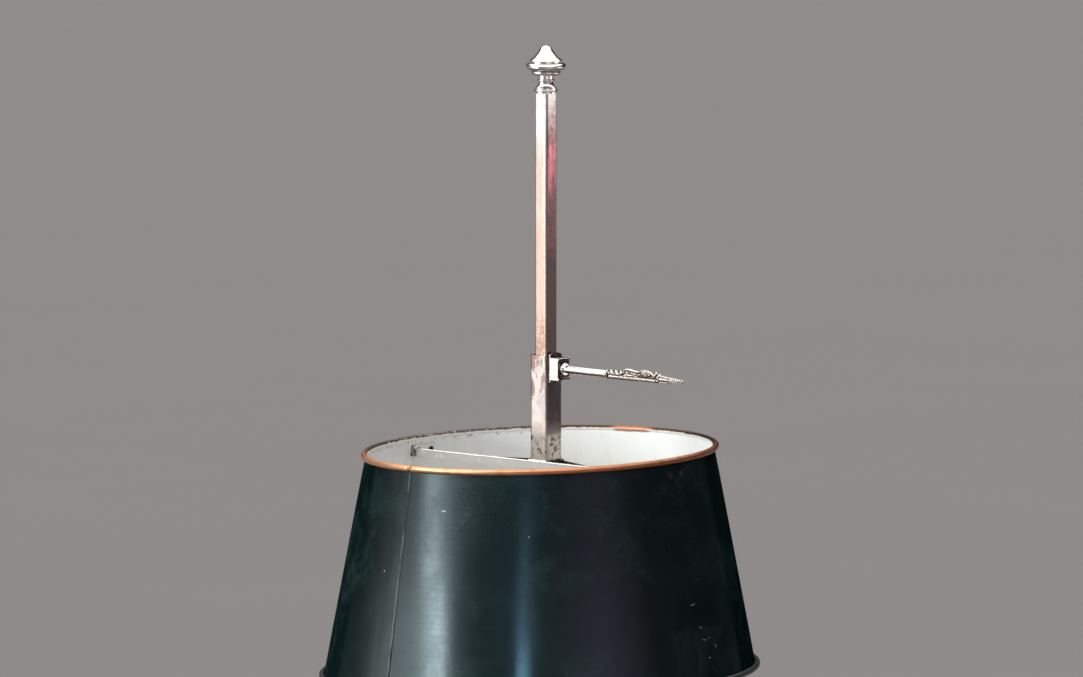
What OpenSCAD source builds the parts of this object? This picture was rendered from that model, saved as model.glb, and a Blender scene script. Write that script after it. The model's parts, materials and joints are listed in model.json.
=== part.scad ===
// Bouillotte lamp with three candle arms and a sheet-metal shade that slides on a square stem.
// Millimetres, +Z up. The origin is on the stem's axis, on the surface that the lamp stands on.
// The stem's faces look along X and Y, and the key that clamps the shade points along +X.

/* [Overall] */
// Height from the table to the finial's tip
total_h = 700; // [660:5:760]

/* [Base] */
// Outside diameter of the base dish, over its rolled rim
dish_d = 250; // [225:1:280]
// Height of the dish's rim above the table
dish_h = 30; // [26:1:36]
// Thickness of the dish's metal
dish_t = 2.4; // [2:0.1:3.2]
// Radius of the rolled rim's round edge
dish_bead_r = 3; // [2.2:0.1:4]
// Width of the flat lip inside the rim
dish_lip_w = 13; // [8:0.5:18]
// Height of the foot ring under the dish's well
foot_ring_h = 3.6; // [2:0.1:5]
// Width of the foot ring
foot_ring_w = 5; // [3:0.5:8]
// Radius of the raised middle that the stem stands on
dish_seat_r = 34; // [31:0.5:40]
// Height of the raised middle above the table
dish_seat_h = 16; // [15:0.5:19]
// Width of the slope round the raised middle
dish_slope_w = 10; // [6:0.5:14]
// Thickness of the baize disc under the foot ring
baize_t = 1.5; // [1:0.1:2.5]

/* [Stem] */
// Side of the square stem
stem_w = 13.5; // [12.5:0.1:14.5]
// Radius of the stem's four rounded edges
stem_round = 2.4; // [1:0.1:2.8]
// Radius of the round tenon below the stem
tenon_r = 4.75; // [4:0.05:5.4]
// Height of the turned socle under the stem
socle_h = 48; // [40:1:60]
// Radius of the socle's foot
socle_foot_r = 28; // [24:0.5:31]
// Radius of the socle's top disc
socle_top_r = 14; // [12.5:0.5:17]
// Radius of the socle's waist
socle_waist_r = 10.5; // [9:0.5:12]
// Thickness of the socle's foot and of its top disc
socle_step = 4; // [3:0.5:5]
// Radius of the rings round the socle
socle_bead = 2.2; // [1.6:0.1:2.6]
// Thickness of the washer under the dish
washer_t = 1.4; // [1:0.1:2]
// Radius of the washer
washer_r = 12; // [10:0.5:16]
// Height of the nut on the tenon
nut_h = 5; // [4:0.5:6]
// Size of the nut across its flats
nut_af = 16; // [14:0.5:19]

/* [Finial] */
// Radius of the finial's bell-shaped foot
bell_r = 9.7; // [9.2:0.1:11]
// Height of the collar that the finial stands on
bell_collar_h = 1.2; // [0.8:0.1:2]
// Height of the bell-shaped foot
bell_h = 8.4; // [8:0.1:11]
// Thickness of the rounded lip under the finial, and of the bead on its neck
bell_lip = 2; // [1.6:0.1:2.4]
// Radius of the finial's neck
neck_r = 5.9; // [5:0.1:6.4]
// Height of the neck with its bead
neck_h = 5; // [4:0.5:7]
// Radius of the lower disc
lower_disc_r = 12; // [9.5:0.1:14]
// Thickness of the lower disc
lower_disc_t = 4.4; // [3:0.1:6]
// Radius of the wide disc
wide_disc_r = 16.2; // [14:0.1:19]
// Thickness of the wide disc
wide_disc_t = 5.6; // [4:0.1:7]
// Height of the groove between the wide disc and the dome
groove_h = 1.5; // [1:0.1:2]
// How far that groove lies inside the dome's brim
groove_in = 1.4; // [0.8:0.1:2]
// Radius of the dome's brim
dome_r = 13.5; // [12:0.1:14.5]
// Height of the dome over the groove
dome_h = 12.8; // [11:0.1:16]
// Thickness of the dome's brim
brim_t = 0.5; // [0.3:0.1:1]
// Radius of the dome's rounded tip
tip_r = 5.8; // [4.5:0.1:6.5]
// Angle over the horizontal at which the round tip passes into the hollow flank
tip_deg = 26; // [15:1:40]
// Height of the fine line round the dome, over its brim
line_z = 2.9; // [2:0.1:4]
// Radius of the section of that line
line_r = 0.35; // [0.2:0.05:0.5]
// Radius of the tenon that holds the finial
finial_tenon_r = 2.6; // [2:0.1:3]
// Length of the tenon that holds the finial
finial_tenon_h = 16; // [10:1:20]

/* [Candle arms] */
// Height of the hub's underside above the table
hub_z = 112; // [100:1:120]
// Height of the hub
hub_h = 26; // [24:1:32]
// Radius of the hub's drum
hub_r = 15; // [14:0.5:18]
// Radius of the bead round the hub's two ends
hub_bead_r = 2; // [1.5:0.1:2.5]
// Radius of the set screw's thread
hub_screw_r = 2; // [1.5:0.1:2.5]
// How far the set screw's head stands out round its thread
screw_head_w = 1.4; // [1:0.1:2]
// Height of the set screw's head
screw_head_h = 2.4; // [2:0.1:3]
// Width of the slot in the set screw's head
screw_slot_w = 0.8; // [0.6:0.1:1.2]
// Distance of each candle from the stem
arm_reach = 85; // [78:1:95]
// Radius of the arm's round rod
arm_r = 3.5; // [3:0.1:4]
// Radius of the arm's downward bend at the hub
arm_bend_r = 18; // [15:0.5:22]
// Angle of that bend
arm_bend_deg = 50; // [40:1:60]
// Radius of the round knop where the arm starts to rise
knop_r = 5; // [4.4:0.1:6]
// Width of the collar where the arm leaves the hub
arm_collar_w = 2.4; // [2:0.1:3]
// Depth of the arm's socket in the hub
arm_socket = 5; // [4:0.5:6]
// Radius of the stud that holds the pan and the cup
stud_r = 2.5; // [2:0.1:3]
// Radius of the turned seat at the arm's end
seat_r = 7.5; // [6.5:0.5:9]
// Height of that seat
seat_h = 3.5; // [3:0.5:6]
// Radius of the ring under that seat
seat_ring_r = 1.6; // [1.2:0.1:2]

/* [Pans and cups] */
// Radius of the drip pan
pan_r = 27; // [24:0.5:30]
// Thickness of the drip pan
pan_t = 1.2; // [1:0.1:1.8]
// Rise of the pan's rim
pan_rise = 3.6; // [3:0.1:5]
// Radius of the candle's hole
candle_r = 11.2; // [10.5:0.1:12.5]
// Depth of the candle's hole
candle_depth = 26; // [20:1:32]
// Wall round the candle's hole
cup_wall = 1.8; // [1.4:0.1:2.5]
// Width of the cup's lip beyond its wall
cup_lip_w = 3.4; // [2.5:0.1:5]
// Thickness of the cup's lip
cup_lip_t = 2; // [1.6:0.1:3]
// Height of the cup's solid foot
cup_foot_h = 10; // [9:0.5:12]
// Thickness of the floor under the candle
cup_floor_t = 3.4; // [3:0.1:4]
// Radius of the cup's foot
cup_foot_r = 8; // [7:0.5:10]
// Radius of the round underside of the cup
bowl_r = 5; // [3.5:0.5:6]
// Place of the bead round the cup, as a share of the hole's depth
cup_bead_share = 0.55; // [0.3:0.05:0.7]

/* [Shade] */
// Height of the shade's upper rim above the table
rim_z = 371; // [365:1:380]
// Height of the shade from rim to rim
shade_h = 179; // [160:1:190]
// Outside radius of the sheet at the upper rim
shade_top_r = 141.3; // [130:0.5:148]
// Outside radius of the sheet at the lower rim
shade_bottom_r = 175.4; // [165:0.5:185]
// Thickness of the shade's sheet
sheet_t = 0.8; // [0.6:0.1:1.2]
// Radius of the rolled rims
roll_r = 2.6; // [2.3:0.1:3.2]
// Radius of the wires inside the rolled rims
wire_r = 1.7; // [1.3:0.1:1.8]
// How far the two rims run out of square with the axis, in degrees
rim_tilt = 1.7; // [0:0.1:2.5]
// Direction in which the rims rise, in degrees from +X
rim_tilt_dir = 44; // [0:1:90]
// Place of the lap seam round the shade, in degrees from +X
seam_deg = 266; // [200:1:340]
// Width of the lap seam
seam_w = 7; // [5:0.5:10]
// Thickness of the lap that stands out of the sheet
seam_t = 0.5; // [0.4:0.1:0.8]
// Gap between the ends of each rolled rim
roll_gap = 1; // [0.6:0.1:1.6]
// How far the rolled rims stand in from the sheet's inner face
roll_in = 0.3; // [0.2:0.05:0.5]

/* [Shade carrier] */
// Height of the bar across the shade
bar_h = 6.5; // [5.5:0.5:8]
// Thickness of the bar and its strap
bar_t = 1.8; // [1.5:0.1:2.4]
// Depth of the bar's upper edge below the upper rim
bar_drop = 9; // [8:0.5:11]
// Slope of the bar, up towards +X, in degrees
bar_tilt = 0.6; // [0:0.1:1]
// Distance of the shade's axis from the middle plane of the bar
bar_offset = 4.5; // [0:0.5:5]
// Length of each foot along the shade's wall
foot_len = 25; // [24:0.5:32]
// Height of each foot
foot_h = 9; // [8:0.5:10]
// How far the feet stand above the bar's middle
foot_rise = 1.5; // [0:0.1:2]
// Distance of the first rivet from the bar
rivet_first = 6; // [5.5:0.1:8]
// Distance between the two rivets of a foot
rivet_pitch = 14; // [10:0.5:15]
// Radius of the rivets' shanks
rivet_r = 1.6; // [1.2:0.1:2]
// Radius of the rivets' heads
rivet_head_r = 3.2; // [2.6:0.1:3.6]
// Height of the rivets' heads
rivet_head_h = 1.2; // [1:0.1:1.6]
// Width of the rivets' inner ends, as a share of their heads
rivet_tail = 0.8; // [0.7:0.05:1]
// Start of the strap on the bar, left of the stem
strap_left = 48; // [40:1:55]
// End of the strap on the bar, right of the stem
strap_right = 70; // [60:1:80]
// Length over which each end of the strap lies on the bar
strap_grip = 8; // [6:1:12]
// How far the strap's upper edge stays below the bar's
strap_step = 0.6; // [0.2:0.1:1]

/* [Sleeve and clamp] */
// Length of the sleeve
sleeve_h = 95; // [85:1:105]
// Wall of the sleeve
sleeve_t = 2.7; // [2.4:0.1:3.2]
// Radius of the sleeve's four rounded edges
sleeve_round = 3.2; // [2:0.1:3.6]
// Clearance between the sleeve and each face of the stem
slide_gap = 0.25; // [0.15:0.05:0.4]
// How far the sleeve reaches below the bar
sleeve_below = 2; // [1:0.5:3]
// Thickness of the arched plate between the sleeve and the clamp's box
plate_t = 1.4; // [1:0.1:2]
// Radius of the arched plate's two ends
plate_r = 13; // [12:0.1:14]
// Depth of the clamp's box in front of the arched plate
boss_d = 8.6; // [8:0.1:11]
// Width of the clamp's box
boss_w = 13.5; // [13.5:0.5:18]
// Height of the clamp's box
boss_h = 18; // [17:0.5:20]
// Distance of the box's top below the sleeve's end
boss_below = 1.5; // [0.5:0.5:4]
// Thickness of the box's flared top and bottom plates
boss_plate_t = 2.2; // [1.8:0.1:3]
// How far those plates stand out in front
boss_flare = 1; // [0.5:0.1:2]
// Thickness of the box's cheeks round its sunk front
boss_cheek = 1.2; // [1:0.1:1.4]
// Depth of the sunk front
boss_sink = 3; // [2:0.5:4]
// Radius of the key's bush
bush_r = 4.5; // [4.2:0.1:4.7]
// How far the bush stands out of the box
bush_out = 0.8; // [0.4:0.1:1.5]
// Width of the rim round the bush
bush_rim_w = 0.6; // [0.4:0.1:0.6]
// Thickness of that rim
bush_rim_t = 1.2; // [0.8:0.1:1.8]
// Radius of the key's screw
screw_r = 3; // [2.5:0.1:3.3]
// Running clearance between a shaft and its hole, on the radius
run_gap = 0.06; // [0.03:0.01:0.1]
// Lead of the key's screw
screw_pitch = 1.25; // [1:0.05:1.5]
// Thickness of the pressure pad
pad_t = 2.6; // [2.4:0.1:3]
// Width of the pressure pad
pad_w = 8.4; // [7:0.2:9]
// Height of the pressure pad
pad_h = 11; // [9:0.5:12]
// Clearance round the pressure pad
pad_gap = 0.3; // [0.2:0.05:0.4]
// Gap between the tightened pad and the stem
grip_gap = 0.1; // [0.05:0.05:0.2]

/* [Key] */
// Radius of the key's shank
shank_r = 3.3; // [2.8:0.1:4]
// Radius of the collar in front of the bush
collar_r = 5.2; // [4.2:0.1:6]
// Thickness of that collar
collar_t = 1.6; // [1.2:0.1:2.5]
// Length of the shank in front of the collar
shank_len = 46; // [36:1:55]
// Length of the cast handle
handle_len = 84; // [78:1:95]
// Radius of the handle's spine
spine_r = 2.3; // [2:0.1:2.8]
// How much the spine narrows towards its end, as a share of its radius
spine_taper = 0.7; // [0.5:0.05:1]
// Thickness of the handle's scrolls, leaf and panel
leaf_t = 3.6; // [3:0.1:4.4]
// Width of the ring where the handle begins
handle_ring_w = 3; // [2:0.5:4]
// How far that ring stands out round the shank
handle_ring_out = 0.4; // [0.2:0.1:0.8]
// Radius of the larger scroll
scroll_r = 2.6; // [2.2:0.1:3]
// Radius of the smaller scroll
scroll_small_r = 2.4; // [2:0.1:2.8]
// Radius of the bead round the scrolls
scroll_bead_r = 1.3; // [1:0.1:1.6]
// Length of the leaf
leaf_len = 20; // [16:1:24]
// Height of the leaf over the spine
leaf_h = 5.4; // [4.5:0.1:7]
// Length of the oval panel
panel_len = 16; // [12:0.5:18]
// Radius of the panel's two round edges, as a share of its length
panel_share = 0.72; // [0.6:0.02:0.9]
// Radius of the knot before the tip
knot_r = 3.9; // [3.2:0.1:4.6]
// Radius of the rounded end of the tip
tip_end_r = 1.2; // [0.8:0.1:1.6]
// Radius of the tenon between the shank and the handle
key_tenon_r = 1.6; // [1.2:0.1:2]
// Length of that tenon
key_tenon_len = 8; // [5:0.5:10]

/* [Hidden] */
$fn = 96;

silver = "#c9c3bd";
brass = "#b08d57";
copper = "#b5683c";
green = "#1c2a2b";
baize_green = "#3f5a45";

// How far fused shapes reach into each other, and how far cuts run past a face
bite = 0.3;
cut = 1;
// Seat clearance of parts that are fixed to each other
seat_gap = 0.05;
// Number of straight steps in a quarter arc of the dish's section, and in a rounded edge
arc_steps = 16;
edge_steps = 6;
// The arms that have nodes, and where they stand round the stem
arm_count = 3;
arm_first_deg = 30;
arm_step_deg = 360 / arm_count;
// How far short of each other the arm's two bends stop, inside the knop
knop_deg = 1;

// Base, from the table up
well_z = baize_t + foot_ring_h;
lip_z = dish_h - dish_bead_r + dish_t / 2;
cove_r = lip_z - dish_t - well_z;
foot_r = dish_d / 2 - dish_bead_r - dish_lip_w - dish_t - cove_r;
washer_z = dish_seat_h - dish_t - washer_t;
nut_z = washer_z - nut_h;
stem_z = dish_seat_h + socle_h;

// Finial, from the stem's top up
finial_h = bell_collar_h + bell_h + neck_h + lower_disc_t + wide_disc_t + groove_h + dome_h;
stem_top = total_h - finial_h;

// Arms: a bend down out of the hub, then a sweep up to the candle
arm_z = hub_z + hub_h / 2;
arm_start = hub_r + hub_bead_r;
bend_end = [arm_start + arm_bend_r * sin(arm_bend_deg), arm_z - arm_bend_r * (1 - cos(arm_bend_deg))];
sweep_r = (arm_reach - bend_end[0]) / (1 + sin(arm_bend_deg));
sweep_mid = [arm_reach - sweep_r, bend_end[1] + sweep_r * cos(arm_bend_deg)];
pan_z = sweep_mid[1] + seat_h;
cup_z = pan_z + pan_t;

// Shade: a cone whose two rims are cut a little out of square
cone_slope = (shade_bottom_r - shade_top_r) / shade_h;
sleeve_half = stem_w / 2 + slide_gap + sleeve_t;
bar_y = -sleeve_half - bar_t / 2;
shade_y = bar_y + bar_offset;
bar_z = rim_z - bar_drop - bar_h / 2;
seam_span = seam_w / shade_bottom_r * 180 / PI;

// Sleeve, box, pad and key
sleeve_z = bar_z - bar_h / 2 - sleeve_below;
boss_z = sleeve_z + sleeve_h - boss_below - boss_h;
key_z = boss_z + boss_h / 2;
plate_x = sleeve_half + plate_t;
boss_x = plate_x + boss_d;
pad_x = stem_w / 2 + grip_gap;
pocket_x = pad_x + pad_t + screw_pitch + pad_gap;
bush_x = max(pocket_x, plate_x);
bush_end = boss_x + bush_out;
collar_x = bush_end + pad_gap;
shank_x = collar_x + collar_t;
handle_x = shank_x + shank_len;

// Outside radius of the shade's sheet at a height
function sheet_r(z) = shade_top_r + (rim_z - z) * cone_slope;

// Moves children to one of the rims: its middle on the shade's axis, and its tilted plane
module at_rim(z) {
    translate([0, shade_y, z])
        rotate([0, 0, rim_tilt_dir])
            rotate([0, -rim_tilt, 0])
                children();
}

// The round edge of a tilted cut through the cone, as radius and sideways shift
function rim_share(side) = 1 / (1 + side * cone_slope * tan(rim_tilt));
function rim_radius(r) = r * (rim_share(1) + rim_share(-1)) / 2 / cos(rim_tilt);
function rim_shift(r) = r * (rim_share(1) - rim_share(-1)) / 2 / cos(rim_tilt);

// A ring of round section in a rim's plane
module rim_ring(z, r, section_r) {
    at_rim(z)
        translate([rim_shift(r), 0, 0])
            rotate_extrude()
                translate([rim_radius(r) - sheet_t - roll_in + roll_r, 0])
                    circle(r = section_r);
}

// The gap where the ends of a rolled rim meet, down to the wire
module roll_slot(z, r) {
    at_rim(z)
        rotate([0, 0, seam_deg - rim_tilt_dir])
            translate([rim_radius(r) - rim_shift(r) + sheet_t / 2, 0, -roll_r - cut])
                cube([2 * roll_r + cut, roll_gap, 2 * (roll_r + cut)]);
}

// A part of a ring of round section, from one angle to another
module bent_rod(bend_r, rod_r, from_deg, to_deg) {
    rotate([0, 0, from_deg])
        rotate_extrude(angle = to_deg - from_deg)
            translate([bend_r, 0])
                circle(r = rod_r, $fn = 48);
}

// A low dome with its flat side at z = 0
module dome(r, h) {
    ball_r = (r * r + h * h) / (2 * h);
    intersection() {
        translate([0, 0, h - ball_r])
            sphere(r = ball_r);
        cylinder(r = r, h = h + cut);
    }
}

// Moves children to candle number i, on the arm's end
module at_candle(i) {
    rotate([0, 0, arm_first_deg + i * arm_step_deg])
        translate([arm_reach, 0, 0])
            children();
}

// --- Base ---

module base_baize() {
    color(baize_green)
        cylinder(r = foot_r, h = baize_t);
}

module base_dish() {
    color(silver)
        rotate_extrude()
            dish_profile();
}

// Points along an arc, from one angle to another
function arc_points(mid, r, from_deg, to_deg, steps) = [
    for (i = [0 : steps])
        let (a = from_deg + i * (to_deg - from_deg) / steps)
            mid + r * [cos(a), sin(a)]
];

// Half section of the dish: middle, slope, well and foot ring, cove, and lip with its rolled rim
module dish_profile() {
    slope_end = dish_seat_r + dish_slope_w;
    bead_mid = [dish_d / 2 - dish_bead_r, dish_h - dish_bead_r];
    bead_deg = 180 - asin(dish_t / 2 / dish_bead_r);
    cove_mid = [foot_r, lip_z];
    polygon(concat(
        [
            [tenon_r + seat_gap, dish_seat_h],
            [dish_seat_r, dish_seat_h],
            [slope_end, well_z + dish_t]
        ],
        arc_points(cove_mid, cove_r, -90, 0, arc_steps),
        arc_points(bead_mid, dish_bead_r, bead_deg, -bead_deg, 2 * arc_steps),
        arc_points(cove_mid, cove_r + dish_t, -asin(dish_t / (cove_r + dish_t)), -90, arc_steps),
        [
            [foot_r, baize_t],
            [foot_r - foot_ring_w, baize_t],
            [foot_r - foot_ring_w, well_z],
            [slope_end - dish_t / 2, well_z],
            [dish_seat_r - dish_t / 2, dish_seat_h - dish_t],
            [tenon_r + seat_gap, dish_seat_h - dish_t]
        ]
    ));
}

module stem_washer() {
    color(brass)
        translate([0, 0, washer_z])
            difference() {
                cylinder(r = washer_r, h = washer_t);
                translate([0, 0, -cut])
                    cylinder(r = tenon_r + 2 * seat_gap, h = washer_t + 2 * cut);
            }
}

module stem_nut() {
    color(brass)
        translate([0, 0, nut_z])
            difference() {
                cylinder(d = nut_af / cos(30), h = nut_h, $fn = 6);
                translate([0, 0, -cut])
                    cylinder(r = tenon_r + seat_gap, h = nut_h + 2 * cut);
            }
}

module stem_socle() {
    ring_x = socle_foot_r - socle_step - socle_bead;
    ring_z = socle_step + 2 * socle_bead;
    sweep = ring_x - socle_waist_r;
    color(silver)
        translate([0, 0, dish_seat_h])
            difference() {
                rotate_extrude() {
                    // Foot with a rounded edge
                    square([socle_foot_r - socle_step / 2, socle_step]);
                    translate([socle_foot_r - socle_step / 2, socle_step / 2])
                        circle(d = socle_step);
                    // Ring over the foot
                    translate([0, socle_step - bite])
                        square([ring_x, 2 * socle_bead]);
                    translate([ring_x, socle_step + socle_bead])
                        circle(r = socle_bead);
                    // Hollow sweep up to the waist
                    difference() {
                        translate([0, ring_z - 2 * bite])
                            square([ring_x, sweep]);
                        translate([ring_x, ring_z + sweep - socle_bead])
                            circle(r = sweep);
                    }
                    square([socle_waist_r, socle_h]);
                    // Ring and disc under the stem
                    translate([socle_waist_r, socle_h - ring_z])
                        circle(r = socle_bead);
                    translate([0, socle_h - socle_step])
                        square([socle_top_r - socle_step / 2, socle_step]);
                    translate([socle_top_r - socle_step / 2, socle_h - socle_step / 2])
                        circle(d = socle_step);
                }
                translate([0, 0, -cut])
                    cylinder(r = tenon_r + seat_gap, h = socle_h + 2 * cut);
            }
}

// --- Stem and finial ---

// Square with rounded corners
module rounded_square(w, r) {
    corner = (w / 2 - r) * sqrt(2);
    polygon([
        for (a = [0 : 90 : 270])
            each arc_points(corner * [cos(a + 45), sin(a + 45)], r, a, a + 90, edge_steps)
    ]);
}

module stem() {
    color(silver) {
        translate([0, 0, stem_z])
            linear_extrude(height = stem_top - stem_z)
                rounded_square(stem_w, stem_round);
        translate([0, 0, nut_z - baize_t / 2])
            cylinder(r = tenon_r, h = stem_z - nut_z + baize_t);
        translate([0, 0, stem_top - bite])
            cylinder(r = finial_tenon_r, h = finial_tenon_h + bite);
    }
}

module finial() {
    bell_z = bell_collar_h + bell_h;
    neck_z = bell_z + neck_h;
    lower_z = neck_z + lower_disc_t;
    wide_z = lower_z + wide_disc_t;
    hollow_r = bell_h - bell_lip;
    color(silver)
        translate([0, 0, stem_top])
            difference() {
                rotate_extrude() {
                    // Collar and bell-shaped foot
                    square([bell_r - bell_lip / 2, bell_collar_h + bell_lip]);
                    translate([bell_r - bell_lip / 2, bell_collar_h + bell_lip / 2])
                        circle(d = bell_lip);
                    difference() {
                        translate([0, bell_collar_h + bell_lip - bite])
                            square([bell_r - bell_lip / 2, hollow_r]);
                        translate([neck_r + hollow_r, bell_z])
                            circle(r = hollow_r);
                    }
                    // Neck with its bead
                    translate([0, bell_lip])
                        square([neck_r, neck_z]);
                    translate([neck_r, bell_z + bell_lip / 2])
                        circle(d = bell_lip);
                    // Lower disc with a rounded edge
                    translate([0, neck_z])
                        square([lower_disc_r - lower_disc_t / 2, lower_disc_t + bite]);
                    translate([lower_disc_r - lower_disc_t / 2, neck_z + lower_disc_t / 2])
                        circle(d = lower_disc_t);
                    // Wide disc with a rounded edge
                    translate([0, lower_z])
                        square([wide_disc_r - wide_disc_t / 2, wide_disc_t]);
                    translate([wide_disc_r - wide_disc_t / 2, lower_z + wide_disc_t / 2])
                        circle(d = wide_disc_t);
                    // Groove, and the dome over it
                    translate([0, wide_z - bite])
                        square([dome_r - groove_in, groove_h + 2 * bite]);
                    translate([0, wide_z + groove_h])
                        dome_profile();
                }
                translate([0, 0, -cut])
                    cylinder(r = finial_tenon_r + seat_gap, h = finial_tenon_h + cut + seat_gap);
            }
}

// Half section of the dome: a round tip, a hollow flank with a fine line cut round it, and a thin brim
module dome_profile() {
    tip_z = dome_h - tip_r;
    tip_end = [tip_r * cos(tip_deg), tip_z + tip_r * sin(tip_deg)];
    brim = [dome_r, brim_t - tip_z];
    across = brim * [cos(tip_deg), sin(tip_deg)];
    flank_r = (brim * brim - 2 * tip_r * across + tip_r * tip_r) / (2 * (across - tip_r));
    flank_mid = tip_end + flank_r * [cos(tip_deg), sin(tip_deg)];
    line_x = flank_mid[0] - sqrt(flank_r * flank_r - (flank_mid[1] - line_z) * (flank_mid[1] - line_z));
    difference() {
        square([dome_r, tip_end[1]]);
        translate(flank_mid)
            circle(r = flank_r, $fn = 180);
        translate([line_x, line_z])
            circle(r = line_r, $fn = 24);
    }
    translate([0, tip_z])
        intersection() {
            circle(r = tip_r);
            translate([0, tip_end[1] - tip_z - bite])
                square(tip_r);
        }
}

// --- Arms ---

module arm_hub() {
    hole_w = stem_w + 2 * seat_gap;
    color(silver)
        difference() {
            translate([0, 0, hub_z])
                rotate_extrude() {
                    square([hub_r, hub_h]);
                    for (z = [hub_bead_r, hub_h - hub_bead_r])
                        translate([hub_r, z])
                            circle(r = hub_bead_r);
                }
            translate([0, 0, hub_z - cut])
                linear_extrude(height = hub_h + 2 * cut)
                    rounded_square(hole_w, stem_round + seat_gap);
            for (i = [0 : arm_count - 1])
                rotate([0, 0, arm_first_deg + i * arm_step_deg])
                    translate([hub_r - arm_socket, 0, arm_z])
                        rotate([0, 90, 0])
                            cylinder(r = arm_r + seat_gap, h = arm_socket + hub_bead_r + cut);
            translate([0, 0, arm_z])
                rotate([-90, 0, 0])
                    cylinder(r = hub_screw_r + seat_gap, h = hub_r + hub_bead_r + cut);
        }
}

module hub_screw() {
    head_r = hub_screw_r + screw_head_w;
    head_h = screw_head_h;
    slot_w = screw_slot_w;
    start = stem_w / 2 + seat_gap;
    color(brass)
        translate([0, start, arm_z])
            rotate([-90, 0, 0])
                difference() {
                    union() {
                        cylinder(r = hub_screw_r, h = hub_r + seat_gap - start + head_h / 2);
                        translate([0, 0, hub_r + seat_gap - start])
                            cylinder(r = head_r, h = head_h);
                    }
                    translate([-head_r - cut, -slot_w / 2, hub_r - start + head_h / 2])
                        cube([2 * (head_r + cut), slot_w, head_h]);
                }
}

// One arm: out of its socket in the hub, down to its knop, then up to the stud under the candle
module candle_arm(i) {
    color(silver)
        rotate([0, 0, arm_first_deg + i * arm_step_deg]) {
            translate([0, 0, arm_z])
                rotate([0, 90, 0]) {
                    translate([0, 0, hub_r - arm_socket + seat_gap])
                        cylinder(r = arm_r, h = arm_start - hub_r + arm_socket - seat_gap);
                    translate([0, 0, arm_start])
                        cylinder(r = arm_r + arm_collar_w / 2, h = arm_collar_w);
                }
            rotate([90, 0, 0]) {
                translate([arm_start, arm_z - arm_bend_r, 0])
                    bent_rod(arm_bend_r, arm_r, 90 - arm_bend_deg + knop_deg, 90);
                translate([sweep_mid[0], sweep_mid[1], 0])
                    bent_rod(sweep_r, arm_r, 270 - arm_bend_deg + knop_deg, 360);
            }
            translate([bend_end[0], 0, bend_end[1]])
                sphere(r = knop_r);
            translate([arm_reach, 0, 0])
                arm_seat();
        }
}

// The turned seat and stud at an arm's end
module arm_seat() {
    translate([0, 0, sweep_mid[1] - bite])
        cylinder(r1 = arm_r, r2 = seat_r, h = seat_h + bite);
    translate([0, 0, sweep_mid[1]])
        rotate_extrude()
            translate([arm_r, 0])
                circle(r = seat_ring_r);
    translate([0, 0, pan_z - bite])
        cylinder(r = stud_r, h = pan_t + cup_foot_h - cup_floor_t / 2);
}

module candle_arm_1() candle_arm(0);
module candle_arm_2() candle_arm(1);
module candle_arm_3() candle_arm(2);

// One shallow pan with a rolled lip
module drip_pan(i) {
    flat_r = pan_r - 2 * pan_rise;
    color(silver)
        at_candle(i)
            translate([0, 0, pan_z])
                difference() {
                    rotate_extrude() {
                        square([flat_r, pan_t]);
                        polygon([
                            [flat_r - pan_t / 4, 0],
                            [pan_r - pan_t, pan_rise - pan_t],
                            [pan_r - pan_t, pan_rise],
                            [flat_r - pan_t / 4, pan_t]
                        ]);
                        translate([pan_r - pan_t, pan_rise - pan_t / 2])
                            circle(r = pan_t);
                    }
                    translate([0, 0, -cut])
                        cylinder(r = stud_r + seat_gap, h = pan_t + 2 * cut);
                }
}

module drip_pan_1() drip_pan(0);
module drip_pan_2() drip_pan(1);
module drip_pan_3() drip_pan(2);

// One turned candle cup, open at the top
module candle_cup(i) {
    wall_r = candle_r + cup_wall;
    cup_h = cup_foot_h + candle_depth;
    bowl_z = cup_foot_h - cup_floor_t;
    color(silver)
        at_candle(i)
            translate([0, 0, cup_z])
                difference() {
                    rotate_extrude() {
                        // Foot ring and stalk
                        square([cup_foot_r + cup_wall / 2, cup_wall]);
                        translate([cup_foot_r + cup_wall / 2, cup_wall / 2])
                            circle(d = cup_wall);
                        square([cup_foot_r - cup_wall, cup_foot_h]);
                        // Round underside of the bowl, and its straight wall
                        intersection() {
                            translate([wall_r - bowl_r, bowl_z + bowl_r])
                                circle(r = bowl_r);
                            translate([wall_r - bowl_r - bite, bowl_z])
                                square([bowl_r + bite + cut, bowl_r]);
                        }
                        translate([0, bowl_z])
                            square([wall_r - bowl_r, bowl_r + bite]);
                        translate([0, bowl_z + bowl_r - bite])
                            square([wall_r, cup_h - bowl_z - bowl_r + bite]);
                        // Bead round the wall, and the lip
                        translate([wall_r, cup_foot_h + candle_depth * cup_bead_share])
                            circle(d = cup_wall);
                        translate([0, cup_h - cup_lip_t])
                            square([wall_r + cup_lip_w - cup_lip_t / 2, cup_lip_t]);
                        translate([wall_r + cup_lip_w - cup_lip_t / 2, cup_h - cup_lip_t / 2])
                            circle(d = cup_lip_t);
                    }
                    translate([0, 0, cup_foot_h])
                        cylinder(r = candle_r, h = candle_depth + cut);
                    translate([0, 0, -cut])
                        cylinder(r = stud_r + seat_gap, h = cup_foot_h - cup_floor_t / 2 + cut);
                }
}

module candle_cup_1() candle_cup(0);
module candle_cup_2() candle_cup(1);
module candle_cup_3() candle_cup(2);

// --- Sleeve and clamp ---

module sleeve() {
    window_w = pad_w + 2 * pad_gap;
    window_h = pad_h + 2 * pad_gap;
    color(silver)
        difference() {
            translate([0, 0, sleeve_z])
                linear_extrude(height = sleeve_h)
                    difference() {
                        rounded_square(2 * sleeve_half, sleeve_round);
                        rounded_square(stem_w + 2 * slide_gap, stem_round + slide_gap);
                    }
            translate([stem_w / 2, -window_w / 2, key_z - window_h / 2])
                cube([sleeve_half, window_w, window_h]);
        }
}

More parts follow.
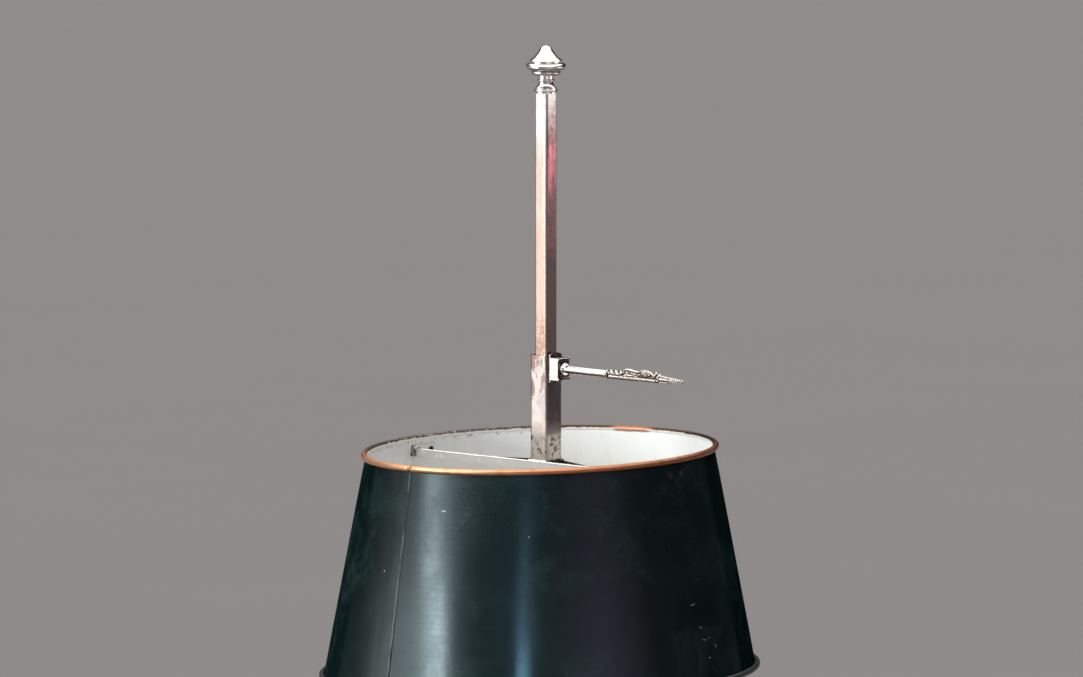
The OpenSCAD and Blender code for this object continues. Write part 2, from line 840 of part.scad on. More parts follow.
// The plate behind the box, with its arched top and bottom
module clamp_plate() {
    color(silver)
        translate([sleeve_half, 0, key_z])
            rotate([0, 90, 0])
                linear_extrude(height = plate_t)
                    difference() {
                        intersection() {
                            circle(r = plate_r);
                            square([2 * plate_r + cut, boss_w], center = true);
                        }
                        square([pad_h + 2 * pad_gap, pad_w + 2 * pad_gap], center = true);
                    }
}

module clamp_boss() {
    window_w = pad_w + 2 * pad_gap;
    window_h = pad_h + 2 * pad_gap;
    front_w = boss_w - 2 * boss_cheek;
    front_h = boss_h - 2 * boss_plate_t;
    color(silver)
        difference() {
            union() {
                translate([plate_x, -boss_w / 2, boss_z])
                    cube([boss_d, boss_w, boss_h]);
                for (z = [boss_z, boss_z + boss_h - boss_plate_t])
                    boss_plate(z);
            }
            translate([boss_x - boss_sink, -front_w / 2, key_z - front_h / 2])
                cube([boss_sink + boss_flare + cut, front_w, front_h]);
            translate([sleeve_half - cut, -window_w / 2, key_z - window_h / 2])
                cube([pocket_x - sleeve_half + cut, window_w, window_h]);
            translate([bush_x - cut, 0, key_z])
                rotate([0, 90, 0])
                    cylinder(r = bush_r + seat_gap, h = boss_d + 2 * cut);
        }
}

// A plate with a rounded front edge that stands out of the box in front
module boss_plate(z) {
    translate([plate_x, -boss_w / 2, z])
        cube([boss_d + boss_flare - boss_plate_t / 2, boss_w, boss_plate_t]);
    translate([boss_x + boss_flare - boss_plate_t / 2, -boss_w / 2, z + boss_plate_t / 2])
        rotate([-90, 0, 0])
            cylinder(d = boss_plate_t, h = boss_w);
}

module key_bush() {
    color(silver)
        translate([bush_x, 0, key_z])
            rotate([0, 90, 0])
                difference() {
                    union() {
                        cylinder(r = bush_r, h = bush_end - bush_x);
                        translate([0, 0, boss_x - boss_sink - bush_x])
                            cylinder(r = bush_r + bush_rim_w, h = bush_rim_t);
                    }
                    translate([0, 0, -cut])
                        cylinder(r = screw_r + run_gap, h = bush_end - bush_x + 2 * cut);
                }
}

module pressure_pad() {
    color(brass)
        translate([pad_x, -pad_w / 2, key_z - pad_h / 2])
            cube([pad_t, pad_w, pad_h]);
}

module clamp_key() {
    screw_x = pad_x + pad_t;
    color(silver)
        translate([0, 0, key_z])
            rotate([0, 90, 0])
                difference() {
                    union() {
                        translate([0, 0, screw_x])
                            cylinder(r = screw_r, h = collar_x - screw_x + bite);
                        translate([0, 0, collar_x])
                            rotate_extrude() {
                                square([collar_r - collar_t / 2, collar_t]);
                                translate([collar_r - collar_t / 2, collar_t / 2])
                                    circle(d = collar_t);
                            }
                        translate([0, 0, shank_x - bite])
                            cylinder(r = shank_r, h = shank_len + bite);
                    }
                    translate([0, 0, handle_x - key_tenon_len])
                        cylinder(r = key_tenon_r + seat_gap, h = key_tenon_len + cut);
                }
}

// The cast handle: a straight spine with scrolls, a leaf, a panel, a knot and a pointed tip on it
module key_handle() {
    scroll_x = handle_ring_w + scroll_r + scroll_bead_r;
    small_x = scroll_x + scroll_r + scroll_small_r + scroll_bead_r;
    leaf_x = small_x + scroll_small_r + scroll_bead_r;
    panel_x = leaf_x + leaf_len - scroll_bead_r;
    knot_x = panel_x + panel_len + knot_r / 2;
    color(silver)
        translate([handle_x, 0, key_z]) {
            rotate([0, 90, 0]) {
                translate([0, 0, seat_gap - key_tenon_len])
                    cylinder(r = key_tenon_r, h = key_tenon_len);
                cylinder(r = shank_r + handle_ring_out, h = handle_ring_w);
            }
            translate([0, 0, spine_r - shank_r])
                rotate([0, 90, 0])
                    cylinder(r1 = spine_r, r2 = spine_r * spine_taper, h = knot_x);
            handle_scroll(scroll_x, scroll_r);
            handle_scroll(small_x, scroll_small_r);
            handle_leaf(leaf_x, leaf_len, leaf_h);
            handle_panel(panel_x, panel_len);
            translate([knot_x, 0, 0])
                sphere(r = knot_r);
            handle_tip(knot_x);
        }
}

// A C-shaped scroll that stands on the spine
module handle_scroll(x, r) {
    translate([x, 0, r - spine_r])
        rotate([90, 0, 0]) {
            bent_rod(r, scroll_bead_r, -40, 220);
            translate([0, 0, -leaf_t / 2])
                cylinder(r = r, h = leaf_t);
        }
}

// A pointed leaf: the part of a round plate that stands over the spine
module handle_leaf(x, len, h) {
    r = (len * len / 4 + h * h) / (2 * h);
    translate([x, 0, 0])
        rotate([90, 0, 0])
            linear_extrude(height = leaf_t, center = true)
                translate([0, -shank_r + spine_r])
                    intersection() {
                        translate([len / 2, h - r])
                            circle(r = r, $fn = 180);
                        square([len, h]);
                    }
}

// An oval panel: what two round plates share
module handle_panel(x, len) {
    rotate([90, 0, 0])
        linear_extrude(height = leaf_t - bite, center = true)
            intersection() {
                translate([x + len / 2, -len / 2])
                    circle(r = len * panel_share);
                translate([x + len / 2, len / 2])
                    circle(r = len * panel_share);
            }
}

// The tapering end
module handle_tip(x) {
    rotate([0, 90, 0])
        translate([0, 0, x]) {
            cylinder(r1 = knot_r * spine_taper, r2 = tip_end_r, h = handle_len - x - tip_end_r);
            translate([0, 0, handle_len - x - tip_end_r])
                sphere(r = tip_end_r);
        }
}

// --- Shade carrier ---

// A foot that lies against the inside of the wall, in the quarter where x and y are positive
module bar_foot(z) {
    first = asin((bar_y - shade_y - bar_t / 2) / (sheet_r(z) - sheet_t));
    span = foot_len / sheet_r(z) * 180 / PI;
    inside = sheet_t + seat_gap;
    low = z - foot_h / 2;
    high = z + foot_h / 2;
    translate([0, shade_y, 0])
        rotate([0, 0, first])
            rotate_extrude(angle = span)
                polygon([
                    [sheet_r(low) - inside - bar_t, low],
                    [sheet_r(low) - inside, low],
                    [sheet_r(high) - inside, high],
                    [sheet_r(high) - inside - bar_t, high]
                ]);
}

// Height of a foot's middle, on the +X side for side = 1 and on the -X side for side = -1
function foot_z(side) = bar_z + foot_rise + side * shade_top_r * tan(bar_tilt);

// Moves children to the wall's outside at a rivet, with z outwards
module at_rivet(side, k) {
    z = foot_z(side);
    from_bar = rivet_first + k * rivet_pitch;
    turn = asin((bar_y - shade_y + from_bar) / sheet_r(z));
    mirror([side < 0 ? 1 : 0, 0, 0])
        translate([0, shade_y, z])
            rotate([0, 0, turn])
                translate([sheet_r(z), 0, 0])
                    rotate([0, 90 - atan(cone_slope), 0])
                        children();
}

module rivet_holes() {
    through = 2 * bar_t + sheet_t + cut;
    for (side = [-1, 1], k = [0, 1])
        at_rivet(side, k)
            translate([0, 0, -through])
                cylinder(r = rivet_r + seat_gap, h = through + cut);
}

module shade_bar() {
    reach = 2 * shade_bottom_r;
    color(silver)
        difference() {
            union() {
                intersection() {
                    translate([0, bar_y, bar_z])
                        rotate([0, -bar_tilt, 0])
                            cube([reach, bar_t, bar_h], center = true);
                    translate([0, shade_y, rim_z - shade_h])
                        cylinder(r1 = shade_bottom_r - sheet_t - seat_gap,
                                 r2 = shade_top_r - sheet_t - seat_gap, h = shade_h);
                }
                bar_foot(foot_z(1));
                mirror([1, 0, 0])
                    bar_foot(foot_z(-1));
            }
            rivet_holes();
        }
}

module bar_rivets() {
    grip = sheet_t + seat_gap + bar_t;
    color(copper)
        for (side = [-1, 1], k = [0, 1])
            at_rivet(side, k) {
                dome(rivet_head_r, rivet_head_h);
                translate([0, 0, -grip])
                    cylinder(r = rivet_r, h = grip + bite);
                translate([0, 0, -grip])
                    mirror([0, 0, 1])
                        dome(rivet_head_r * rivet_tail, rivet_head_h);
            }
}

// The strap's path round the back of the sleeve, on the side towards the bar
function strap_path() = [
    [-strap_left, bar_y + bar_t / 2],
    [-sleeve_half, sleeve_half],
    [sleeve_half, sleeve_half],
    [strap_right, bar_y + bar_t / 2]
];

module bar_strap() {
    path = strap_path();
    back = bar_t;
    color(silver)
        translate([0, 0, bar_z - bar_h / 2])
            linear_extrude(height = bar_h - strap_step)
                polygon([
                    path[0] - [strap_grip, 0],
                    path[0],
                    path[1],
                    path[2],
                    path[3],
                    path[3] + [strap_grip, 0],
                    path[3] + [strap_grip, back],
                    path[3] + [back / 4, back],
                    path[2] + [back / 4, back],
                    path[1] + [-back / 4, back],
                    path[0] + [-back / 4, back],
                    path[0] + [-strap_grip, back]
                ]);
}

// --- Shade ---

module shade_wall() {
    spare = 30;
    inner = sheet_t;
    color(green)
        difference() {
            union() {
                difference() {
                    translate([0, shade_y, 0])
                        rotate_extrude($fn = 180)
                            polygon([
                                [sheet_r(rim_z - shade_h - spare) - inner, rim_z - shade_h - spare],
                                [sheet_r(rim_z - shade_h - spare), rim_z - shade_h - spare],
                                [sheet_r(rim_z + spare), rim_z + spare],
                                [sheet_r(rim_z + spare) - inner, rim_z + spare]
                            ]);
                    rim_cut(rim_z, 1);
                    rim_cut(rim_z - shade_h, -1);
                }
                difference() {
                    lap_seam(spare);
                    rim_cut(rim_z, 1);
                    rim_cut(rim_z - shade_h, -1);
                }
                rim_ring(rim_z, shade_top_r, roll_r);
                rim_ring(rim_z - shade_h, shade_bottom_r, roll_r);
            }
            rim_ring(rim_z, shade_top_r, wire_r + seat_gap);
            rim_ring(rim_z - shade_h, shade_bottom_r, wire_r + seat_gap);
            roll_slot(rim_z, shade_top_r);
            roll_slot(rim_z - shade_h, shade_bottom_r);
            rivet_holes();
        }
}

// Takes away all that is above (side = 1) or below (side = -1) a rim's plane
module rim_cut(z, side) {
    at_rim(z)
        translate([0, 0, side > 0 ? 0 : -shade_bottom_r])
            cylinder(r = 2 * shade_bottom_r, h = shade_bottom_r);
}

// The lap that stands out of the sheet along the seam
module lap_seam(spare) {
    low = rim_z - shade_h - spare;
    high = rim_z + spare;
    translate([0, shade_y, 0])
        rotate([0, 0, seam_deg])
            rotate_extrude(angle = seam_span)
                polygon([
                    [sheet_r(low) - sheet_t / 2, low],
                    [sheet_r(low) + seam_t, low],
                    [sheet_r(high) + seam_t, high],
                    [sheet_r(high) - sheet_t / 2, high]
                ]);
}

module top_rim_wire() {
    color(copper)
        rim_ring(rim_z, shade_top_r, wire_r);
}

module bottom_rim_wire() {
    color(copper)
        rim_ring(rim_z - shade_h, shade_bottom_r, wire_r);
}

base_baize();
base_dish();
stem_washer();
stem_nut();
stem_socle();
stem();
finial();
arm_hub();
hub_screw();
candle_arm_1();
candle_arm_2();
candle_arm_3();
drip_pan_1();
drip_pan_2();
drip_pan_3();
candle_cup_1();
candle_cup_2();
candle_cup_3();
sleeve();
clamp_plate();
clamp_boss();
key_bush();
shade_bar();
bar_strap();
bar_rivets();
shade_wall();
top_rim_wire();
bottom_rim_wire();
pressure_pad();
clamp_key();
key_handle();
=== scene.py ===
"""
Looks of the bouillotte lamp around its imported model: finishes, the painted shade, the cast handle,
light and camera.
"""

import json
import math

import bmesh
import bpy
from mathutils import Matrix, Quaternion, Vector, noise


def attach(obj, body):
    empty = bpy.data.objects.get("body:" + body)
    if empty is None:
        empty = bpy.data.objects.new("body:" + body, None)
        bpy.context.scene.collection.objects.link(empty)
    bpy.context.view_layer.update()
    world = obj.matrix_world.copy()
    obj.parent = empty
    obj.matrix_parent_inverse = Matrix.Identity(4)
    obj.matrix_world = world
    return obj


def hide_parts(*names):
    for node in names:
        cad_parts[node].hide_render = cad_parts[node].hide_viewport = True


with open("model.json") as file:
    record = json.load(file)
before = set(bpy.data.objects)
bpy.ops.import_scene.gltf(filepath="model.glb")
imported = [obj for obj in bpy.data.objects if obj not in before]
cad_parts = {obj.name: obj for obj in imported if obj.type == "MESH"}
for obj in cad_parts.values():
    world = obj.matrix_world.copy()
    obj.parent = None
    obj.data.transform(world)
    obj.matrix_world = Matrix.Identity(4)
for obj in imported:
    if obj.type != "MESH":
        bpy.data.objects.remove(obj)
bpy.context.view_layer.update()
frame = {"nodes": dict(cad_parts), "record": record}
NODES = frame["nodes"]
MM = 0.001

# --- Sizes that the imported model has, in metres and radians ---

SHADE_Y = -6.1 * MM  # the shade's axis, which lies in front of the stem's
RIM_Z = 371 * MM  # the middle of the upper rim
SHADE_H = 179 * MM
LOW_RIM_Z = RIM_Z - SHADE_H
TOP_R = 141.3 * MM
BOTTOM_R = 175.4 * MM
SHEET_T = 0.8 * MM
ROLL_R = 2.6 * MM
ROLL_IN = 0.3 * MM  # how far a rolled rim reaches in past the sheet
RIM_TILT = math.radians(1.7)
RIM_TILT_DIR = math.radians(44)  # the side on which both rims are highest
SEAM = math.radians(267.2)  # where the lap's edge meets the upper rim
SEAM_SLANT = math.radians(2.4)  # how much farther round it meets the lower one
SEAM_EDGE = math.radians(0.42)  # how wide the lap's edge is
CONE_SLOPE = (BOTTOM_R - TOP_R) / SHADE_H

# --- The photograph's view ---

VIEW_AZIMUTH = math.radians(44)
VIEW_ELEVATION = math.radians(6.5)
VIEW_DISTANCE = 8.0
VIEW_TARGET_Z = 461.4 * MM
VIEW_TARGET_LEFT = 3.6 * MM
VIEW_COS, VIEW_SIN = math.cos(VIEW_AZIMUTH), math.sin(VIEW_AZIMUTH)
LENS = 328
SENSOR = 36


# --- Node trees ---


class Shader:
    """A material's node tree, with short calls for the nodes that this scene uses."""

    def __init__(self, name):
        self.material = bpy.data.materials.new(name)
        self.material.use_nodes = True
        self.tree = self.material.node_tree
        self.bsdf = self.tree.nodes["Principled BSDF"]
        coordinates = self.tree.nodes.new("ShaderNodeTexCoord")
        self.place = coordinates.outputs["Object"]
        self.facing = coordinates.outputs["Normal"]

    @classmethod
    def of_tree(cls, tree):
        """The same calls for the node tree of a world."""
        shader = cls.__new__(cls)
        shader.tree = tree
        shader.direction = tree.nodes.new("ShaderNodeTexCoord").outputs["Generated"]
        return shader

    def put(self, socket, value):
        """Links a node's output to the socket, or sets a constant on it."""
        if isinstance(value, bpy.types.NodeSocket):
            self.tree.links.new(value, socket)
        elif isinstance(value, (tuple, list)) and len(value) == 3 and socket.type == "RGBA":
            socket.default_value = (*value, 1)
        else:
            socket.default_value = value

    def finish(self, **values):
        """The material with its main sockets set; an underscore in a name stands for a space."""
        for name, value in values.items():
            self.put(self.bsdf.inputs[name.replace("_", " ")], value)
        return self.material

    def math(self, operation, a, b=0.0, clamp=False):
        node = self.tree.nodes.new("ShaderNodeMath")
        node.operation = operation
        node.use_clamp = clamp
        self.put(node.inputs[0], a)
        self.put(node.inputs[1], b)
        return node.outputs[0]

    def add(self, a, b, clamp=False):
        return self.math("ADD", a, b, clamp)

    def minus(self, a, b):
        return self.math("SUBTRACT", a, b)

    def times(self, product, *factors):
        for factor in factors:
            product = self.math("MULTIPLY", product, factor)
        return product

    def toward(self, x, y, to_x, to_y):
        """How far the point (x, y) lies in the direction (to_x, to_y)."""
        return self.add(self.times(x, to_x), self.times(y, to_y))

    def ruffled(self, value, texture, amount):
        """The value, moved up and down by a texture whose middle is one half."""
        return self.add(value, self.times(self.minus(texture, 0.5), amount))

    def axes(self, vector):
        """The three parts of a vector."""
        node = self.tree.nodes.new("ShaderNodeSeparateXYZ")
        self.put(node.inputs[0], vector)
        return node.outputs[0], node.outputs[1], node.outputs[2]

    def noise(self, scale, detail, roughness, distortion=0.0, vector=None):
        node = self.tree.nodes.new("ShaderNodeTexNoise")
        self.put(node.inputs["Vector"], vector or self.place)
        self.put(node.inputs["Scale"], scale)
        self.put(node.inputs["Detail"], detail)
        self.put(node.inputs["Roughness"], roughness)
        self.put(node.inputs["Distortion"], distortion)
        return node.outputs["Fac"]

    def stretched_noise(self, scales, detail, roughness, shift=(0, 0, 0), distortion=0.0):
        """Noise with a scale of its own along each axis."""
        node = self.tree.nodes.new("ShaderNodeMapping")
        self.put(node.inputs["Vector"], self.place)
        node.inputs["Scale"].default_value = scales
        node.inputs["Location"].default_value = shift
        return self.noise(1.0, detail, roughness, distortion, node.outputs[0])

    def cells(self, scale):
        """Distance from the middle of the nearest cell, for specks."""
        node = self.tree.nodes.new("ShaderNodeTexVoronoi")
        self.put(node.inputs["Vector"], self.place)
        self.put(node.inputs["Scale"], scale)
        return node.outputs["Distance"]

    def step(self, value, low, high, out_low=0.0, out_high=1.0):
        """A smooth step of value between low and high."""
        node = self.tree.nodes.new("ShaderNodeMapRange")
        node.interpolation_type = "SMOOTHSTEP"
        self.put(node.inputs["Value"], value)
        names = ("From Min", "From Max", "To Min", "To Max")
        for name, number in zip(names, (low, high, out_low, out_high)):
            self.put(node.inputs[name], number)
        return node.outputs["Result"]

    def facing_away(self):
        """Zero where the surface faces the eye and one where it turns away, for gloss."""
        return self.tree.nodes.new("ShaderNodeLayerWeight").outputs["Facing"]

    def ramp(self, value, stops):
        """A colour ramp with the given (position, colour) stops."""
        node = self.tree.nodes.new("ShaderNodeValToRGB")
        elements = node.color_ramp.elements
        for element, (position, color) in zip((elements[0], elements[1]), (stops[0], stops[-1])):
            element.position, element.color = position, (*color, 1)
        for position, color in stops[1:-1]:
            elements.new(position).color = (*color, 1)
        self.put(node.inputs[0], value)
        return node.outputs[0]

    def mix(self, factor, a, b):
        """Colour a, turning to colour b as the factor grows to one."""
        node = self.tree.nodes.new("ShaderNodeMix")
        node.data_type = "RGBA"
        # The sockets before these are those for numbers and vectors
        color_a, color_b, mixed = node.inputs[6], node.inputs[7], node.outputs[2]
        self.put(node.inputs["Factor"], factor)
        self.put(color_a, a)
        self.put(color_b, b)
        return mixed

    def bump(self, height, distance, strength):
        node = self.tree.nodes.new("ShaderNodeBump")
        self.put(node.inputs["Height"], height)
        self.put(node.inputs["Distance"], distance)
        self.put(node.inputs["Strength"], strength)
        return node.outputs["Normal"]


# --- Finishes: the numbers give how fine a texture is, where it begins to show and how strongly ---


def silver_plate():
    """Polished silver plate: warm where it is thin, dull and brown where it is touched least, and painted
    dark brown where it faces down, as tarnish and as painted shade.
    """
    tarnish = 0.5
    silver, thin_silver = (0.86, 0.83, 0.79), (0.83, 0.66, 0.56)
    brown, dark_brown, black = (0.30, 0.24, 0.20), (0.16, 0.11, 0.09), (0.09, 0.07, 0.06)
    s = Shader("silver_plate")
    clouds = s.noise(38, detail=6, roughness=0.6)
    grime = s.noise(140, detail=7, roughness=0.7, distortion=0.6)
    thin = s.step(clouds, 0.53, 0.73)
    dull = s.times(s.step(grime, 0.56, 0.76), tarnish)
    color = s.mix(thin, silver, thin_silver)
    color = s.mix(dull, color, brown)
    color = s.mix(s.step(s.cells(420), 0.16, 0.05, 0.0, 0.45 * tarnish), color, black)
    # What faces down is painted dark brown: tarnish where it is wiped least, and painted shade
    nz = s.axes(s.facing)[2]
    facing_down_shade = s.step(s.ruffled(nz, grime, 0.9), -0.15, -0.45)
    color = s.mix(s.times(facing_down_shade, tarnish), color, dark_brown)
    wiping_lines = s.stretched_noise((900, 900, 60), detail=3, roughness=0.6)
    return s.finish(
        Base_Color=color,
        Metallic=1.0,
        Roughness=s.add(s.step(grime, 0.3, 0.8, 0.09, 0.26), s.times(dull, 0.25)),
        Normal=s.bump(s.add(wiping_lines, s.times(clouds, 3.0)), 0.00002, 0.5),
    )


# Heights on the stem and sleeve between which a mark comes or goes, in metres
WORN_BELOW = (0.598, 0.640)
CLEAN_ABOVE = (0.585, 0.650)
VEINS_ABOVE = (0.392, 0.418)
BLOTCHES_BELOW = (0.490, 0.464)
# Heights between which the side away from the window is painted darker, as shade
FAR_SIDE_SHADE_ABOVE = (RIM_Z + 0.008, RIM_Z + 0.014)
FAR_SIDE_SHADE_BELOW = (0.668, 0.615)
CRIMSON_ABOVE = (0.520, 0.575)
CRIMSON_BELOW = (0.655, 0.625)
DULL_AND_SHADOW_BELOW = (RIM_Z + 0.015, RIM_Z + 0.011)
MORE_WAX_BELOW = (0.378, 0.356)


def worn_silver(name="worn_silver", on_sleeve=False):
    """The stem's and sleeve's plate, worn through to rosy copper in bands along the bar, with painted shade
    on the side away from the window and inside the shade.
    """
    rosy_silver, clean_silver, sleeve_silver = (0.88, 0.70, 0.61), (0.96, 0.95, 0.95), (0.82, 0.76, 0.72)
    bare_copper, crimson_copper, mottle_brown = (0.82, 0.56, 0.46), (0.95, 0.36, 0.41), (0.34, 0.22, 0.19)
    vein_brown, blotch_brown = (0.38, 0.25, 0.21), (0.46, 0.30, 0.25)
    shade_purple_brown = (0.11, 0.078, 0.088) if on_sleeve else (0.25, 0.18, 0.20)
    shadow_grey_left, shadow_grey_right = (0.42, 0.37, 0.32), (0.60, 0.54, 0.46)
    speck_black, wax_black = (0.06, 0.04, 0.04), (0.035, 0.030, 0.028)
    s = Shader(name)
    x, y, z = s.axes(s.place)
    nx = s.axes(s.facing)[0]
    streaks = s.stretched_noise((130, 130, 11), detail=6, roughness=0.62)
    mottle = s.noise(210, detail=6, roughness=0.68, distortion=0.8)
    band = s.stretched_noise((18, 18, 9), detail=2, roughness=0.5, shift=(3, 1, 7))
    worn = s.step(s.add(s.times(streaks, 0.7), s.times(band, 0.5)), 0.50, 0.72)
    # The upper end keeps its silver
    worn = s.times(worn, s.step(z, *WORN_BELOW, 1.0, 0.12))
    plate = s.mix(s.step(z, *CLEAN_ABOVE), rosy_silver, clean_silver)
    color = s.mix(worn, plate, bare_copper)
    if on_sleeve:
        # The sleeve keeps its silver low down and has brown veins higher up
        slant = s.add(z, s.times(s.minus(y, x), 1.1))
        veins = s.stretched_noise((95, 95, 42), detail=6, roughness=0.6, shift=(4, 0, 2), distortion=1.2)
        veined = s.times(s.step(veins, 0.46, 0.56), s.step(slant, *VEINS_ABOVE, 0.25, 0.95))
        color = s.mix(veined, sleeve_silver, vein_brown)
    else:
        # Just above the sleeve's place in the photo the stem is brown in blotches
        blotched = s.times(s.step(mottle, 0.42, 0.54), s.step(z, *BLOTCHES_BELOW, 0.0, 0.8))
        color = s.mix(blotched, color, blotch_brown)
    # The side away from the window is painted dark purple-brown above the shade, as painted shade, and
    # crimson in one stretch
    side = s.times(s.step(nx, 0.55, 0.95), s.step(z, *FAR_SIDE_SHADE_ABOVE))
    far_side_shade = s.times(side, s.step(z, *FAR_SIDE_SHADE_BELOW, 0.1, 1.0))
    color = s.mix(s.times(far_side_shade, 0.9), color, shade_purple_brown)
    crimson = s.times(side, s.step(z, *CRIMSON_ABOVE), s.step(z, *CRIMSON_BELOW))
    ragged = s.stretched_noise((260, 260, 40), detail=5, roughness=0.65)
    color = s.mix(s.times(crimson, s.step(ragged, 0.40, 0.60)), color, crimson_copper)
    color = s.mix(s.step(mottle, 0.60, 0.74, 0.0, 0.5), color, mottle_brown)
    color = s.mix(s.step(s.cells(600), 0.15, 0.04, 0.0, 0.5), color, speck_black)
    # Inside the shade the sleeve is dull, and greyish partly from dirt and partly as painted shade, darker on
    # its left face, with black specks of old wax
    low = s.step(z, *DULL_AND_SHADOW_BELOW, 0.0, 1.0 if on_sleeve else 0.12)
    color = s.mix(s.times(low, 0.85), color, s.mix(s.step(nx, 0.3, 0.8), shadow_grey_left, shadow_grey_right))
    wax = s.step(s.add(mottle, s.step(z, *MORE_WAX_BELOW, 0.0, 0.05)), 0.55, 0.59)
    color = s.mix(s.times(low, wax, 0.85), color, wax_black)
    return s.finish(
        Base_Color=color,
        Metallic=1.0,
        Roughness=s.add(s.step(mottle, 0.3, 0.8, 0.10, 0.30), s.times(low, 0.22)),
        Normal=s.bump(s.add(streaks, s.times(mottle, 0.6)), 0.00004, 0.6),
    )


def cast_silver():
    """The cast handle: bright on what stands out, brown and black in its hollows."""
    black, brown, silver = (0.050, 0.040, 0.036), (0.50, 0.43, 0.38), (0.95, 0.92, 0.89)
    s = Shader("cast_silver")
    hollow = s.tree.nodes.new("ShaderNodeNewGeometry").outputs["Pointiness"]
    grime = s.noise(520, detail=6, roughness=0.7, distortion=0.5)
    relief = s.ruffled(hollow, grime, 0.10)
    color = s.mix(s.step(relief, 0.490, 0.520), black, brown)
    color = s.mix(s.step(relief, 0.510, 0.550), color, silver)
    return s.finish(
        Base_Color=color,
        Metallic=1.0,
        Roughness=s.step(relief, 0.49, 0.56, 0.42, 0.14),
        Normal=s.bump(grime, 0.0002, 0.7),
    )


def key_silver():
    """The key's shank: bright plate, with a thin dark line painted low on its side as a dark reflection, and
    a browner underside painted as shade.
    """
    silver, thin_silver = (0.95, 0.93, 0.91), (0.88, 0.74, 0.64)
    brown, black = (0.62, 0.44, 0.34), (0.07, 0.05, 0.045)
    s = Shader("key_silver")
    nz = s.axes(s.facing)[2]
    grime = s.noise(240, detail=6, roughness=0.65)
    clouds = s.noise(60, detail=5, roughness=0.6)
    height = s.ruffled(nz, grime, 0.25)
    color = s.mix(s.step(clouds, 0.55, 0.75, 0.0, 0.6), silver, thin_silver)
    # Set by which way each face turns: the browner underside is painted shade and the dark line is a painted
    # reflection
    color = s.mix(s.step(height, -0.35, -0.50), color, brown)
    line = s.times(s.step(height, -0.22, -0.34), s.step(height, -0.62, -0.50))
    return s.finish(
        Base_Color=s.mix(line, color, black),
        Metallic=1.0,
        Roughness=s.step(grime, 0.3, 0.8, 0.10, 0.26),
        Normal=s.bump(grime, 0.00004, 0.5),
    )


def clamp_silver():
    """The clamp's box and plate: bright on the side to the window; painted brown and black as shade on the
    side toward the key and where faces turn down.
    """
    silver, thin_silver = (0.93, 0.89, 0.84), (0.70, 0.54, 0.45)
    black, brown = (0.050, 0.036, 0.032), (0.27, 0.20, 0.18)
    underside_shade_black, speck_black = (0.11, 0.085, 0.075), (0.10, 0.07, 0.06)
    s = Shader("clamp_silver")
    nx, _, nz = s.axes(s.facing)
    clouds = s.noise(150, detail=6, roughness=0.65, distortion=0.6)
    fine = s.noise(600, detail=5, roughness=0.7)
    color = s.mix(s.step(clouds, 0.48, 0.70, 0.0, 0.7), silver, thin_silver)
    # The faces toward the key and the faces turned down are painted dark, as shade
    key_side_shade = s.step(s.ruffled(nx, clouds, 0.5), 0.45, 0.75)
    color = s.mix(key_side_shade, color, s.mix(s.step(clouds, 0.42, 0.60), black, brown))
    color = s.mix(s.step(nz, -0.2, -0.6), color, underside_shade_black)
    color = s.mix(s.step(fine, 0.60, 0.70, 0.0, 0.6), color, speck_black)
    return s.finish(
        Base_Color=color,
        Metallic=1.0,
        Roughness=s.step(clouds, 0.3, 0.7, 0.12, 0.34),
        Normal=s.bump(s.add(clouds, fine), 0.0001, 0.6),
    )


def shadowed_strap():
    """The strap behind the bar: plate blackened by candle smoke and wax, and painted nearly black as the
    shadow in the gap behind the bar.
    """
    s = Shader("shadowed_strap")
    soot_and_shadow = s.noise(220, detail=6, roughness=0.7)
    return s.finish(
        Base_Color=s.mix(s.step(soot_and_shadow, 0.45, 0.70), (0.040, 0.034, 0.030), (0.26, 0.22, 0.19)),
        Metallic=0.8,
        Roughness=s.step(soot_and_shadow, 0.3, 0.7, 0.55, 0.30),
        Normal=s.bump(soot_and_shadow, 0.0002, 0.7),
    )


# Where the bar's finish changes, in metres along the bar or across it
DARK_END_PAST = (-0.1350, -0.1385)
FRONT_FACE = (-0.0085, -0.0095)
FEET_PAST = (0.1395, 0.1405)
FEET_BEHIND = (-0.0092, -0.0085)


